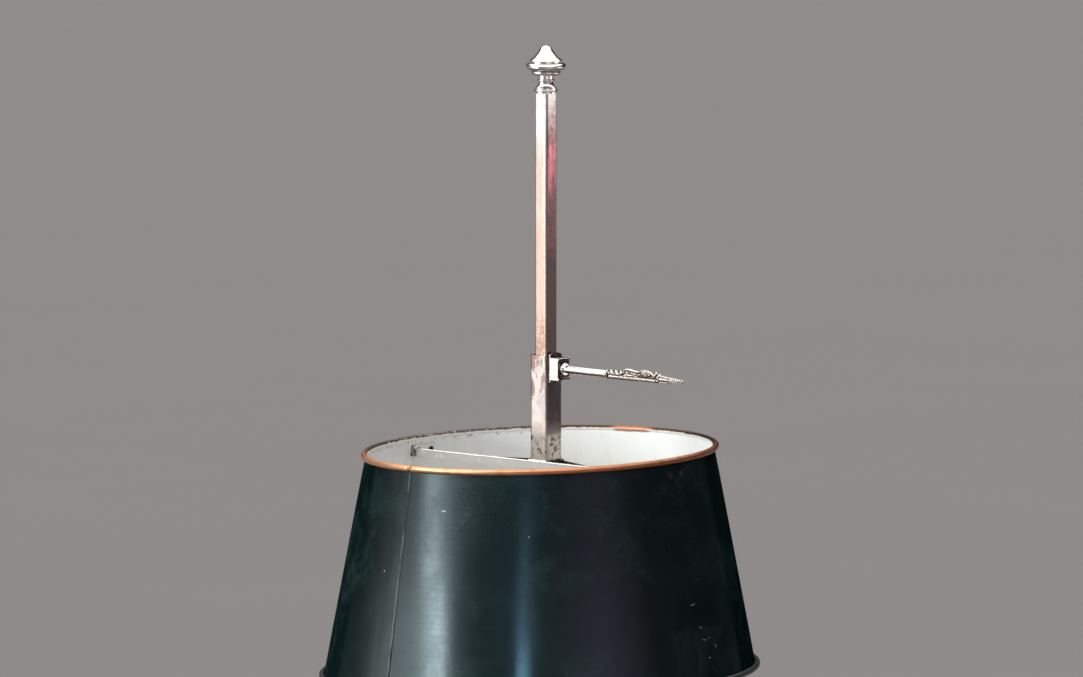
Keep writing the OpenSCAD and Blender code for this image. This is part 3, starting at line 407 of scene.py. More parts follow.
def bar_paint():
    """The bar: old white paint on its sides, bare plate on its edges, grey where paint has gone."""
    old_white, clean_white = (0.48, 0.47, 0.44), (0.60, 0.59, 0.55)
    foot_white, foot_edge_shadow = (0.82, 0.81, 0.78), (0.30, 0.22, 0.17)
    silver, grey_speck, dark_end_black = (0.93, 0.91, 0.88), (0.22, 0.19, 0.17), (0.075, 0.070, 0.060)
    s = Shader("bar_paint")
    x, y, _ = s.axes(s.place)
    _, ny, nz = s.axes(s.facing)
    patches = s.noise(60, detail=6, roughness=0.65, distortion=0.6)
    specks = s.noise(380, detail=5, roughness=0.7)
    bare = s.add(s.step(nz, 0.30, 0.55), s.step(patches, 0.60, 0.68, 0.0, 0.8), clamp=True)
    # The left end's front face is painted dark
    in_front = s.times(s.step(ny, 0.2, -0.3), s.step(y, *FRONT_FACE))
    dark_end = s.times(s.step(x, *DARK_END_PAST), in_front, s.step(patches, 0.36, 0.46))
    color = s.mix(specks, old_white, clean_white)
    on_foot = s.step(s.math("ABSOLUTE", x), *FEET_PAST)
    on_foot = s.math("MAXIMUM", on_foot, s.step(y, *FEET_BEHIND))
    # The foot's upper edge is painted brown as the shadow in the gap between foot and wall
    color = s.mix(on_foot, color, s.mix(s.step(nz, 0.4, 0.7), foot_white, foot_edge_shadow))
    bare = s.times(bare, s.minus(1.0, on_foot))
    color = s.mix(bare, color, silver)
    color = s.mix(s.step(specks, 0.62, 0.72, 0.0, 0.6), color, grey_speck)
    color = s.mix(s.times(dark_end, s.step(nz, 0.6, 0.3)), color, dark_end_black)
    return s.finish(
        Base_Color=color,
        Metallic=s.times(bare, 0.9),
        Roughness=s.minus(0.55, s.times(bare, 0.38)),
        Normal=s.bump(s.add(patches, specks), 0.0001, 0.6),
    )


def solder_metal(name, color, other):
    """Solder: bright drops, or a dark copy painted as solder in shadow."""
    s = Shader(name)
    grain = s.noise(700, detail=6, roughness=0.7)
    return s.finish(
        Base_Color=s.mix(s.step(grain, 0.35, 0.65), color, other),
        Metallic=0.9,
        Roughness=s.step(grain, 0.3, 0.7, 0.16, 0.5),
        Normal=s.bump(grain, 0.0003, 0.8),
    )


def plain_brass():
    """Turned brass that is never polished."""
    s = Shader("plain_brass")
    patina = s.noise(180, detail=6, roughness=0.65)
    return s.finish(
        Base_Color=s.mix(s.step(patina, 0.35, 0.7), (0.70, 0.52, 0.28), (0.36, 0.24, 0.12)),
        Metallic=1.0,
        Roughness=s.step(patina, 0.3, 0.7, 0.26, 0.5),
        Normal=s.bump(patina, 0.00004, 0.5),
    )


def across_view(s):
    """How far a point lies to the picture's right of the stem, and how far behind it."""
    x, y, _ = s.axes(s.place)
    return s.toward(x, y, VIEW_COS, VIEW_SIN), s.toward(y, x, VIEW_COS, -VIEW_SIN)


def rim_chip(s, along, away):
    """Above zero behind, on the right, where white paint has flaked off the upper rim."""
    starts, ends, behind = (0.050, 0.060), (0.094, 0.080), (0.02, 0.06)
    chip = s.times(s.step(along, *starts), s.step(along, *ends))
    return s.times(chip, s.step(away, *behind), 0.6)


def copper():
    """Copper of the upper rim: bright in front and on the left, painted darker and browner to the right and
    behind as shade, painted white inside.
    """
    lit_left_copper, shaded_right_copper = (0.86, 0.43, 0.23), (0.74, 0.29, 0.14)
    shade_brown_right, shade_purple_left, speck_black = (0.10, 0.045, 0.030), (0.045, 0.027, 0.028), (0.050, 0.028, 0.024)
    fleck_grey, paint_white = (0.60, 0.57, 0.55), (0.84, 0.83, 0.78)
    s = Shader("copper")
    x, y, _ = s.axes(s.place)
    nx, ny, nz = s.axes(s.facing)
    along, away = across_view(s)
    patches = s.noise(70, detail=6, roughness=0.65, distortion=0.5)
    fine = s.noise(420, detail=5, roughness=0.7)
    # Toward the right and behind, away from the window, the copper is painted brown as shade; random patches
    # add real tarnish
    right_side_shade, behind = s.step(along, -0.04, 0.12, 0.0, 0.45), s.step(away, -0.05, 0.06, 0.0, 0.95)
    brown = s.add(s.add(right_side_shade, behind, clamp=True), s.step(patches, 0.50, 0.72, 0.0, 0.45), clamp=True)
    chip = rim_chip(s, along, away)
    brown = s.times(brown, s.step(chip, 0.0, 1.0, 1.0, 0.25))
    # A lit copper on the left and a shaded copy of it on the right; the darkest brown and purple are painted
    # shade
    bright = s.mix(s.step(along, -0.06, 0.03), lit_left_copper, shaded_right_copper)
    old = s.mix(s.step(along, 0.04, -0.04), shade_brown_right, shade_purple_left)
    color = s.mix(brown, bright, old)
    color = s.mix(s.step(fine, 0.60, 0.72, 0.0, 0.75), color, speck_black)
    # The inner side of the roll is painted like the shade's inside
    out_x = s.math("DIVIDE", x, TOP_R)
    out_y = s.math("DIVIDE", s.minus(y, SHADE_Y), TOP_R)
    outward = s.toward(nx, ny, out_x, out_y)
    height = s.ruffled(nz, s.noise(230, detail=6, roughness=0.7), 1.1)
    painted = s.times(s.step(height, 0.34, 0.22), s.step(outward, -0.05, -0.15))
    painted = s.times(painted, s.step(chip, 0.2, 0.8, 1.0, 0.0))
    behind_left = s.times(s.step(away, 0.0, 0.05), s.step(along, 0.02, -0.04))
    flecks = s.times(s.step(fine, 0.52, 0.58), behind_left)
    color = s.mix(s.times(flecks, 0.5), color, fleck_grey)
    return s.finish(
        Base_Color=s.mix(painted, color, paint_white),
        Metallic=s.step(painted, 0.0, 1.0, 0.9, 0.0),
        Roughness=s.add(s.step(patches, 0.3, 0.7, 0.30, 0.45), s.times(painted, 0.15)),
        Normal=s.bump(s.add(patches, s.times(fine, 0.3)), 0.0002, 0.5),
    )


# Light scratches and chips in the green paint: degrees round from the key's side, then height, half
# width and half height in mm, and how much the stroke leans
PAINT_MARKS = (
    (2.5, 259.4, 3.38, 0.25, 0.25),
    (4.5, 240.5, 2.47, 0.28, -0.45),
    (5.4, 230.6, 2.86, 0.25, -0.2),
    (10.0, 224.2, 0.54, 1.6, -0.35),
    (6.5, 215.9, 1.56, 0.39, 0.1),
    (7.5, 231.5, 1.17, 0.28, 0.3),
    (-77.7, 337.3, 2.6, 0.7, 0.15),
    (-49.6, 319.7, 0.9, 0.6, 0.0),
    (-98.7, 285.0, 0.8, 0.7, 0.0),
    (158.0, 246.0, 2.4, 0.6, 0.3),
    (97.0, 222.0, 1.6, 0.7, -0.3),
)


def marks_mask(s, ragged):
    """One where a scratch or chip is, on the shade's cone."""
    x, y, z = s.axes(s.place)
    total = None
    for angle, height, half_w, half_h, lean in PAINT_MARKS:
        turn = math.radians(angle)
        r = cone_r(height * MM)
        from_x = s.minus(x, r * math.cos(turn))
        from_y = s.minus(y, SHADE_Y + r * math.sin(turn))
        side = s.toward(from_x, from_y, -math.sin(turn), math.cos(turn))
        depth = s.toward(from_x, from_y, math.cos(turn), math.sin(turn))
        up = s.minus(s.minus(z, height * MM), s.times(side, lean))
        # One on the mark's outline, which is an ellipse, and large off the sheet there
        reach = s.add(
            s.math("POWER", s.math("ABSOLUTE", s.math("DIVIDE", side, half_w * MM)), 2.0),
            s.math("POWER", s.math("ABSOLUTE", s.math("DIVIDE", up, half_h * MM)), 2.0),
        )
        reach = s.add(reach, s.times(s.math("ABSOLUTE", depth), 60.0))
        spot = s.step(s.add(reach, s.times(ragged, 1.6)), 1.9, 1.2)
        total = spot if total is None else s.math("MAXIMUM", total, spot)
    return total


def seam_side(s):
    """Metres round the shade from the seam's edge, and one on the half of the shade with the seam."""
    x, y, z = s.axes(s.place)
    share_left = s.math("DIVIDE", s.minus(RIM_Z, z), SHADE_H)
    run = s.times(share_left, (TOP_R + BOTTOM_R) / 2 * SEAM_SLANT)
    from_axis = s.minus(y, SHADE_Y)
    side = s.toward(from_axis, x, math.cos(SEAM), -math.sin(SEAM))
    depth = s.toward(x, from_axis, math.cos(SEAM), math.sin(SEAM))
    return s.minus(side, run), s.step(depth, 0.05, 0.08)


def green_paint():
    """Old dark green paint: glossy, faintly cloudy, wiped in upright streaks, with a few light scratches."""
    deep_green, green = (0.0014, 0.0052, 0.0055), (0.0026, 0.0076, 0.0076)
    blotch, streak, dust = (0.0085, 0.0180, 0.0175), (0.013, 0.023, 0.023), (0.032, 0.040, 0.039)
    lap_highlight_paint, primer = (0.16, 0.19, 0.18), (0.34, 0.33, 0.30)
    s = Shader("green_paint")
    clouds = s.noise(9, detail=4, roughness=0.5)
    streaks = s.stretched_noise((170, 170, 14), detail=5, roughness=0.6)
    orange_peel = s.noise(260, detail=3, roughness=0.6)
    fine = s.noise(800, detail=4, roughness=0.65)
    scratched = marks_mask(s, s.noise(900, detail=3, roughness=0.7))
    blotches = s.noise(26, detail=7, roughness=0.68, distortion=0.6)
    # Brush hairs run round the shade
    hairs = s.stretched_noise((34, 34, 900), detail=4, roughness=0.7, shift=(1, 2, 3))
    waves = s.stretched_noise((46, 46, 11), detail=3, roughness=0.5, shift=(2, 5, 1))
    color = s.mix(s.step(clouds, 0.3, 0.7), deep_green, green)
    color = s.mix(s.step(blotches, 0.46, 0.68, 0.0, 0.9), color, blotch)
    color = s.mix(s.step(streaks, 0.55, 0.85, 0.0, 0.25), color, streak)
    color = s.mix(s.step(fine, 0.66, 0.74, 0.0, 0.35), color, dust)
    # The lap's edge: a light line painted along it as the ridge's highlight, and dirt in the corner beside it
    side, near = seam_side(s)
    side = s.ruffled(side, s.stretched_noise((240, 240, 60), detail=5, roughness=0.7), 0.0009)
    rubbed = s.times(s.step(side, -0.0013, -0.0009), s.step(side, -0.0001, -0.0005))
    rubbed = s.times(rubbed, near, s.step(streaks, 0.42, 0.56))
    dirt = s.times(s.step(side, -0.0002, 0.0002), s.step(side, 0.0016, 0.0008), near)
    color = s.mix(s.times(rubbed, 0.55), color, lap_highlight_paint)
    color = s.mix(s.times(scratched, 0.8), color, primer)
    # The gloss is patchy. The upper edge is handled and dusted more, so it is duller there
    z = s.axes(s.place)[2]
    heights = (0.205, 0.350)
    away = s.facing_away()
    gloss = s.step(away, 0.36, 0.66, 0.52, 0.0)
    gloss = s.times(gloss, s.minus(1.0, s.times(dirt, 0.8)))
    gloss = s.times(gloss, s.step(hairs, 0.35, 0.65, 0.92, 1.07), s.step(blotches, 0.35, 0.65, 1.10, 0.88))
    gloss = s.times(gloss, s.step(z, *heights, 1.18, 0.68))
    rough = s.add(s.step(clouds, 0.3, 0.7, 0.18, 0.23), s.step(fine, 0.5, 0.8, 0.0, 0.10))
    rough = s.add(rough, s.times(dirt, 0.3))
    rough = s.ruffled(s.ruffled(rough, blotches, 0.16), hairs, 0.07)
    rough = s.times(rough, s.step(away, 0.60, 0.82, 1.0, 0.15))
    rough = s.times(rough, s.step(z, *heights, 0.86, 1.12))
    height = s.add(s.times(streaks, 1.4), s.times(orange_peel, 0.8))
    height = s.add(height, s.add(s.times(waves, 3.2), s.times(hairs, 0.12)))
    height = s.minus(height, s.times(scratched, 1.5))
    return s.finish(
        Base_Color=color,
        Roughness=rough,
        Normal=s.bump(height, 0.00004, 0.6),
        Specular_IOR_Level=gloss,
        Specular_Tint=(0.78, 0.96, 1.0),
    )


def white_paint():
    """White paint inside the shade, a little yellowed, worn along the rim and chipped at one place behind."""
    white, shaded_white, yellowed = (0.90, 0.91, 0.89), (0.85, 0.86, 0.83), (0.77, 0.74, 0.66)
    speck_grey, speck_black = (0.45, 0.42, 0.38), (0.10, 0.08, 0.08)
    old_copper, chip_copper = (0.10, 0.05, 0.040), (0.74, 0.52, 0.40)
    s = Shader("white_paint")
    z = s.axes(s.place)[2]
    along, away = across_view(s)
    clouds = s.noise(12, detail=5, roughness=0.55)
    stains = s.stretched_noise((60, 60, 22), detail=6, roughness=0.65)
    specks = s.noise(330, detail=5, roughness=0.75)
    ragged = s.noise(140, detail=7, roughness=0.7, distortion=0.7)
    below_rim = s.minus(s.add(s.times(along, math.tan(RIM_TILT)), RIM_Z), z)
    color = s.mix(s.step(clouds, 0.3, 0.7), white, shaded_white)
    color = s.mix(s.step(stains, 0.50, 0.75, 0.0, 0.5), color, yellowed)
    color = s.mix(s.step(specks, 0.66, 0.74, 0.0, 0.35), color, speck_grey)
    speckled = s.times(s.step(along, 0.01, -0.05), s.step(below_rim, 0.0050, 0.0020))
    color = s.mix(s.times(speckled, s.step(specks, 0.50, 0.62, 0.0, 0.75)), color, speck_black)
    chip = rim_chip(s, along, away)
    bare = s.ruffled(s.times(chip, 0.0034), ragged, 0.0035)
    edge = s.step(s.minus(below_rim, bare), 0.0004, -0.0004)
    return s.finish(
        Base_Color=s.mix(edge, color, s.mix(chip, old_copper, chip_copper)),
        Roughness=s.step(clouds, 0.3, 0.7, 0.42, 0.58),
        Normal=s.bump(s.add(stains, s.times(specks, 0.2)), 0.00008, 0.6),
    )


def dark_rivet():
    """Rivet heads under worn dark paint."""
    s = Shader("dark_rivet")
    rust = s.noise(500, detail=5, roughness=0.7)
    return s.finish(
        Base_Color=s.mix(s.step(rust, 0.42, 0.62), (0.006, 0.005, 0.005), (0.030, 0.014, 0.010)),
        Roughness=s.step(rust, 0.3, 0.7, 0.45, 0.7),
        Normal=s.bump(rust, 0.0003, 0.8),
        Specular_IOR_Level=0.15,
    )


def baize():
    """Green baize: short matted wool."""
    s = Shader("baize")
    wool = s.noise(1400, detail=6, roughness=0.8)
    patches = s.noise(60, detail=4, roughness=0.6)
    color = s.mix(wool, (0.035, 0.085, 0.045), (0.085, 0.165, 0.090))
    color = s.mix(s.step(patches, 0.5, 0.8, 0.0, 0.4), color, (0.12, 0.14, 0.08))
    return s.finish(Base_Color=color, Roughness=0.95, Normal=s.bump(wool, 0.0006, 0.9), Sheen_Weight=0.4)


def worn_rim_paint():
    """The lower rim: green paint rubbed through to copper and red primer along its edge."""
    green, red_primer, bare_copper = (0.014, 0.022, 0.022), (0.30, 0.085, 0.055), (0.72, 0.36, 0.22)
    s = Shader("worn_rim_paint")
    nz = s.axes(s.facing)[2]
    ragged = s.noise(160, detail=6, roughness=0.7, distortion=0.5)
    patches = s.noise(40, detail=4, roughness=0.6)
    rubbed = s.add(s.times(nz, -0.5), s.add(ragged, s.times(patches, 0.5)))
    color = s.mix(s.step(rubbed, 0.98, 1.10), green, red_primer)
    return s.finish(
        Base_Color=s.mix(s.step(rubbed, 1.16, 1.26), color, bare_copper),
        Roughness=s.step(ragged, 0.3, 0.7, 0.26, 0.45),
        Metallic=s.step(rubbed, 1.16, 1.26, 0.0, 0.9),
        Normal=s.bump(ragged, 0.0002, 0.6),
    )


# --- Meshes ---


def in_scene(name, data):
    """A new object in the scene."""
    obj = bpy.data.objects.new(name, data)
    bpy.context.scene.collection.objects.link(obj)
    return obj


def new_piece(name, mesh, body, slot, *materials):
    """A mesh as a piece that rides a body and takes the given materials; the slot is not used."""
    piece = in_scene(name, mesh)
    for material in materials:
        mesh.materials.append(material)
    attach(piece, body)
    return piece


def mesh_of(name, points, faces, face_materials=None):
    """A smooth mesh, with the number of a material for each face where there is more than one."""
    mesh = bpy.data.meshes.new(name)
    mesh.from_pydata(points, [], faces)
    for i, polygon in enumerate(mesh.polygons):
        polygon.use_smooth = True
        if face_materials:
            polygon.material_index = face_materials[i]
    mesh.update()
    return mesh


def cone_r(z):
    """Outside radius of the shade's sheet at a height."""
    return TOP_R + (RIM_Z - z) * CONE_SLOPE


def rim_z(middle_z, angle):
    """Height of a tilted rim's plane where it cuts the cone."""
    lift = math.tan(RIM_TILT) * math.cos(angle - RIM_TILT_DIR)
    return (middle_z + lift * (TOP_R + RIM_Z * CONE_SLOPE)) / (1 + lift * CONE_SLOPE)


def shade_point(r, angle, z):
    return Vector((r * math.cos(angle), SHADE_Y + r * math.sin(angle), z))


def shade_wave(angle, z):
    """How far hand-rolled sheet runs in and out of the true cone, in long waves and short ones."""
    total = 0.0
    for round_rate, up_rate, depth in ((2.2, 3, 0.45), (7, 12, 0.10)):
        place = Vector((math.cos(angle) * round_rate, math.sin(angle) * round_rate, z * up_rate))
        total += noise.noise(place) * depth
    return total * MM


def seam_lift(angle, share):
    """How far the lap stands out: a soft, slightly uneven edge at the seam, which runs out behind it."""
    lap_height = 0.60 * MM
    lap_run = math.radians(6)
    behind = (SEAM + SEAM_SLANT * (1 - share) - angle) % math.tau
    if behind > lap_run:
        return 0.0
    uneven = 1 + 0.35 * noise.noise(Vector((share * 14, 3.0, 0.0)))
    edge = min(1, behind / SEAM_EDGE)
    return lap_height * uneven * (1 - behind / lap_run) * edge * edge * (3 - 2 * edge)


def shade_sheet():
    """The shade's sheet: an outer skin with its lap seam, and an inner skin, joined inside the rims."""
    rows, columns, edge_columns = 72, 420, 10
    rim_fade = 8  # the waves die away over one part in so many of the height at each rim
    offsets = [i * math.tau / columns for i in range(columns)]
    offsets += [math.tau - SEAM_EDGE * k / edge_columns for k in range(1, edge_columns + 1)]
    offsets.sort()
    points, faces, kinds = [], [], []
    for skin in (0, 1):
        for row in range(rows + 1):
            share = row / rows
            for offset in offsets:
                angle = SEAM + SEAM_SLANT * (1 - share) + offset
                low, high = rim_z(LOW_RIM_Z, angle), rim_z(RIM_Z, angle)
                z = low + (high - low) * share
                fade = min(1, rim_fade * share, rim_fade * (1 - share))
                r = cone_r(z) + shade_wave(angle, z) * fade
                if skin == 0:
                    r += seam_lift(angle, share)
                points.append(shade_point(r - skin * SHEET_T, angle, z))
    n = len(offsets)
    skin_size = n * (rows + 1)
    for row in range(rows):
        for i in range(n):
            a, b = row * n + i, row * n + (i + 1) % n
            faces.append((a, b, b + n, a + n))
            kinds.append(0)
            a, b = a + skin_size, b + skin_size
            faces.append((b, a, a + n, b + n))
            kinds.append(1)
    for row in (0, rows):
        for i in range(n):
            a, b = row * n + i, row * n + (i + 1) % n
            face = (a, a + skin_size, b + skin_size, b)
            faces.append(face if row == 0 else face[::-1])
            kinds.append(0 if row == 0 else 1)
    return mesh_of("shade_sheet", points, faces, kinds)


def rim_bead(name, middle_z, radius):
    """A rolled rim: a tube round the shade, a little uneven, whose two ends nearly meet at the seam."""
    rings, sides = 360, 20
    gap = 1.3 * MM / radius
    dent_depth = 0.22
    end_share = 0.86  # how thick the tube still is at its two ends
    share = 1 if middle_z == RIM_Z else 0
    start = SEAM + SEAM_SLANT * (1 - share) + gap / 2
    points, faces = [], []
    for ring in range(rings + 1):
        angle = start + (math.tau - gap) * ring / rings
        z = rim_z(middle_z, angle)
        r = cone_r(z) - SHEET_T - ROLL_IN + ROLL_R
        place = Vector((math.cos(angle) * 9, math.sin(angle) * 9, middle_z * 40))
        dent = noise.noise(place) * dent_depth * MM
        section = (ROLL_R - abs(dent)) * (end_share if ring in (0, rings) else 1.0)
        for side in range(sides):
            turn = side / sides * math.tau
            points.append(shade_point(r + section * math.cos(turn), angle, z + section * math.sin(turn)))
    for ring in range(rings):
        for side in range(sides):
            a = ring * sides + side
            b = ring * sides + (side + 1) % sides
            faces.append((a, b, b + sides, a + sides)[::-1])
    faces.append(tuple(range(sides)))
    faces.append(tuple(range(rings * sides, (rings + 1) * sides))[::-1])
    return mesh_of(name, points, faces)


def build_shade(green, white, bare_copper, dark_copper):
    """The sheet and its two rolled rims; gives back the pieces with green paint outside."""
    body = "shade_carriage"
    sheet = new_piece("shade_sheet", shade_sheet(), body, "painted_sheet", green, white)
    roll = rim_bead("top_rim_roll", RIM_Z, TOP_R)
    top = new_piece("top_rim_roll", roll, body, "copper", bare_copper)
    roll = rim_bead("bottom_rim_roll", LOW_RIM_Z, BOTTOM_R)
    bottom = new_piece("bottom_rim_roll", roll, body, "painted_sheet", dark_copper)
    for piece in (sheet, top, bottom):
        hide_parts("shade_wall")
    return [sheet, bottom]


def add_egg(shape, middle, size, tilt=0.0):
    """An egg with the given middle and half sizes in mm, turned about Y by tilt degrees."""
    place = Matrix.Translation(Vector(middle) * MM) @ Matrix.Rotation(math.radians(tilt), 4, "Y")
    sized = place @ Matrix.Diagonal((size[0] * MM, size[1] * MM, size[2] * MM, 1))
    bmesh.ops.create_uvsphere(shape, u_segments=16, v_segments=10, radius=1, matrix=sized)


def add_rod(shape, path, radii, sides=10):
    """A closed rod through points in mm, with one radius or one at each point."""
    if isinstance(radii, float):
        radii = [radii] * len(path)
    path = [Vector(point) * MM for point in path]
    rings = []
    for i, point in enumerate(path):
        along = (path[min(i + 1, len(path) - 1)] - path[max(i - 1, 0)]).normalized()
        across = along.cross(Vector((0, 1, 0.01))).normalized()
        other = along.cross(across)
        ring = []
        for k in range(sides):
            turn = k / sides * math.tau
            offset = across * math.cos(turn) + other * math.sin(turn)
            ring.append(shape.verts.new(point + offset * radii[i] * MM))
        rings.append(ring)
    for low, high in zip(rings, rings[1:]):
        for k in range(sides):
            shape.faces.new((low[k], low[(k + 1) % sides], high[(k + 1) % sides], high[k]))
    shape.faces.new(rings[0][::-1])
    shape.faces.new(rings[-1])


def upright(points):
    """Points (x, z) in the upright plane of the key's axis."""
    return [(x, 0, z) for x, z in points]


def arc(middle, radii, start, end, steps):
    """Points (x, z) on an arc or a part of an ellipse, from one angle to another in degrees."""
    points = []
    for i in range(steps + 1):
        turn = math.radians(start + (end - start) * i / steps)
        points.append((middle[0] + radii[0] * math.cos(turn), middle[1] + radii[1] * math.sin(turn)))
    return points


def mesh_from(name, shape):
    """Turns a finished shape into a mesh whose faces look outward."""
    bmesh.ops.recalc_face_normals(shape, faces=shape.faces)
    mesh = bpy.data.meshes.new(name)
    shape.to_mesh(mesh)
    shape.free()
    return mesh


def fused_piece(name, shape, voxel, body, material):
    """Melts the overlapping bodies of a shape into one smooth piece, with voxels of a size in mm."""
    piece = new_piece(name, mesh_from(name, shape), body, "silver_plate", material)
    melt = piece.modifiers.new("melt", "REMESH")
    melt.mode = "VOXEL"
    melt.voxel_size = voxel * MM
    melt.use_smooth_shade = True
    return piece


# The cast handle's parts in mm, as (x, z) in the upright plane of the key's axis
KEY_AXIS_Z = 438.0
HANDLE_X = 68.6
SPINE_END_X = 128
SPINE_Z = 436.5
WIRE = ((HANDLE_X - 38, 434.7), (HANDLE_X, 434.8), (SPINE_END_X, 435.6))
ROPE_X, ROPE_Z = HANDLE_X + 1.5, 439.8
ROPE_LENGTH, ROPE_TURNS, ROPE_STEPS = 16, 1.5, 24
CURL = (89.2, 440.4)
BOW = ((88.4, 442.9), (92, 443.5), (96, 443.1), (100, 442.4), (103.5, 442.2))
LOWER_ROPE = ((86.5, 438.0), (92, 438.8), (97, 439.0), (103, 438.2))
WEB = (98, 440.6)
PANEL = (110.8, 440.5)
BEADS = ((105.6, 440.4), (109.2, 441.0), (112.8, 440.2), (116.2, 440.9))
KNOTS = (
    (((119.4, 437.2), (121.6, 440.6), (124.2, 443.6)), (1.3, 1.9, 1.3)),
    (((122.8, 436.6), (124.8, 439.4), (127.4, 442.0)), (1.2, 1.8, 1.1)),
)
TIP = ((126, 438.6), (140, 438.4), (152, 438.2))
SCALES_X, SCALES_Z, SCALES_LENGTH, SCALES_LAST = 129.0, 438.4, 22.0, 10


def cast_handle(material):
    """The key's cast handle: rope, scroll, beaded panel, slanting knot and feathered tip on a plain spine."""
    shape = bmesh.new()
    add_egg(shape, (HANDLE_X + 0.9, 0, KEY_AXIS_Z), (1.7, 3.8, 3.9))
    add_rod(shape, upright([(HANDLE_X, SPINE_Z), (SPINE_END_X, SPINE_Z + 0.4)]), (1.9, 1.6))
    add_rod(shape, upright(WIRE), (0.55, 0.75, 0.55))
    # Two strands that cross each other
    for side in (0, math.pi):
        path = []
        for i in range(ROPE_STEPS + 1):
            turn = side + i / ROPE_STEPS * math.tau * ROPE_TURNS
            x = ROPE_X + ROPE_LENGTH * i / ROPE_STEPS
            path.append((x, 1.1 * math.cos(turn), ROPE_Z + 1.35 * math.sin(turn)))
        add_rod(shape, path, 1.35, 8)
    # The scroll's curl, its bow and its lower rope
    add_rod(shape, upright(arc(CURL, (2.0, 2.0), -120, 200, 16)), 0.95, 8)
    add_rod(shape, upright(BOW), 1.15)
    add_rod(shape, upright(LOWER_ROPE), 1.1)
    add_egg(shape, (WEB[0], 0, WEB[1]), (6.0, 0.9, 2.0))
    # The panel, its border and its beads
    add_egg(shape, (PANEL[0], 0, PANEL[1]), (8.6, 1.5, 3.4))
    add_rod(shape, upright(arc(PANEL, (8.2, 3.3), 0, 360, 20)), 0.85, 8)
    for x, z in BEADS:
        add_egg(shape, (x, 0, z), (1.15, 2.3, 1.15))
    for path, radii in KNOTS:
        add_rod(shape, upright(path), radii)
    # The tip: scales in two rows that grow smaller
    add_rod(shape, upright(TIP), (2.1, 1.7, 1.1))
    for i in range(SCALES_LAST + 1):
        share = i / SCALES_LAST
        x = SCALES_X + SCALES_LENGTH * share
        spread = 1.5 * (1 - share) + 0.9
        size = 1.0 - 0.25 * share
        for side in (1, -1):
            middle = (x + 0.6 * side, 0, SCALES_Z - 0.3 * share + spread * side)
            add_egg(shape, middle, (1.9 * size, 1.9 * size, 1.0 * size), 34 * side)
    piece = fused_piece("cast_handle", shape, 0.32, "shade_key", material)
    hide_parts("key_handle")
    return piece


def bar_edge(material):
    """The bar's front upper edge, rubbed round and bright."""
    left, length, steps = -139.5, 278.5, 28
    edge_y, edge_z, edge_r = -11.15, 361.75, 0.72
    rise = math.tan(math.radians(0.6))
    path, radii = [], []
    for i in range(steps + 1):
        x = left + length * i / steps
        uneven = 0.08 * noise.noise(Vector((i * 0.9, 4.0, 2.0)))
        path.append((x, edge_y, edge_z + x * rise + uneven))
        radii.append(edge_r + uneven)
    shape = bmesh.new()
    add_rod(shape, path, radii, 12)
    mesh = mesh_from("bar_edge", shape)
    mesh.shade_smooth()
    return new_piece("bar_edge", mesh, "shade_carriage", "silver_plate", material)


def solder_drops(bright, shadow_lumps):
    """Bright drops of solder along the bar at the sleeve's foot, and lumps beside the strap painted dark as
    solder in shadow.
    """
    drops, drops_x, drops_length = 13, -9.0, 18.5
    shape = bmesh.new()
    for i in range(drops):
        x = drops_x + drops_length * i / (drops - 1)
        lump = 0.5 + 0.5 * noise.noise(Vector((i * 1.7, 2.0, 5.0)))
        add_egg(shape, (x, -10.3, 362.0 + 0.3 * lump), (1.0, 1.0, 0.75 + 1.0 * lump), 20 * (lump - 0.5))
    shine = fused_piece("solder_bright", shape, 0.3, "shade_carriage", bright)
    lumps, lumps_y, lumps_length = 7, -3.0, 12.0
    shape = bmesh.new()
    for i in range(lumps):
        y = lumps_y + lumps_length * i / (lumps - 1)
        lump = 0.5 + 0.5 * noise.noise(Vector((i * 1.3, 7.0, 1.0)))
        add_egg(shape, (10.1, y, 361.4 + 1.6 * lump), (1.0, 1.4, 1.0 + 0.8 * lump))
    fused_piece("solder_in_shadow", shape, 0.35, "shade_carriage", shadow_lumps)
    return shine


# How wide the rounded edges of the square nodes are, in mm
EDGES = {
    "stem": 0.25,
    "sleeve": 0.3,
    "clamp_boss": 0.25,
    "shade_bar": 0.3,
    "bar_strap": 0.3,
    "pressure_pad": 0.3,
    "stem_nut": 0.4,
    "arm_hub": 0.2,
}


def finish_nodes(finishes, special):
    """Gives every CAD node its slot's finish or a special one, and rounds the edges of the square ones."""
    by_slot = {row["node"]: row["material_slot"] for row in frame["record"]["subparts"]}
    for name, node in NODES.items():
        node.data.materials.clear()
        node.data.materials.append(special.get(name) or finishes[by_slot[name]])
        if name in EDGES:
            bevel = node.modifiers.new("edges", "BEVEL")
            bevel.width = EDGES[name] * MM
            bevel.segments = 2
            bevel.limit_method = "ANGLE"
            bevel.angle_limit = math.radians(40)
            bevel.harden_normals = True


# --- Light, floor and camera ---


def aim(obj, place, target):
    obj.location = place
    obj.rotation_mode = "QUATERNION"
    obj.rotation_quaternion = (Vector(target) - Vector(place)).to_track_quat("-Z", "Y")


def round_lamp(degrees, distance, height):
    """A place round the lamp, the given degrees to the camera's right as seen from the lamp."""
    angle = VIEW_AZIMUTH + math.radians(degrees - 90)
    return Vector((distance * math.cos(angle), distance * math.sin(angle), height))


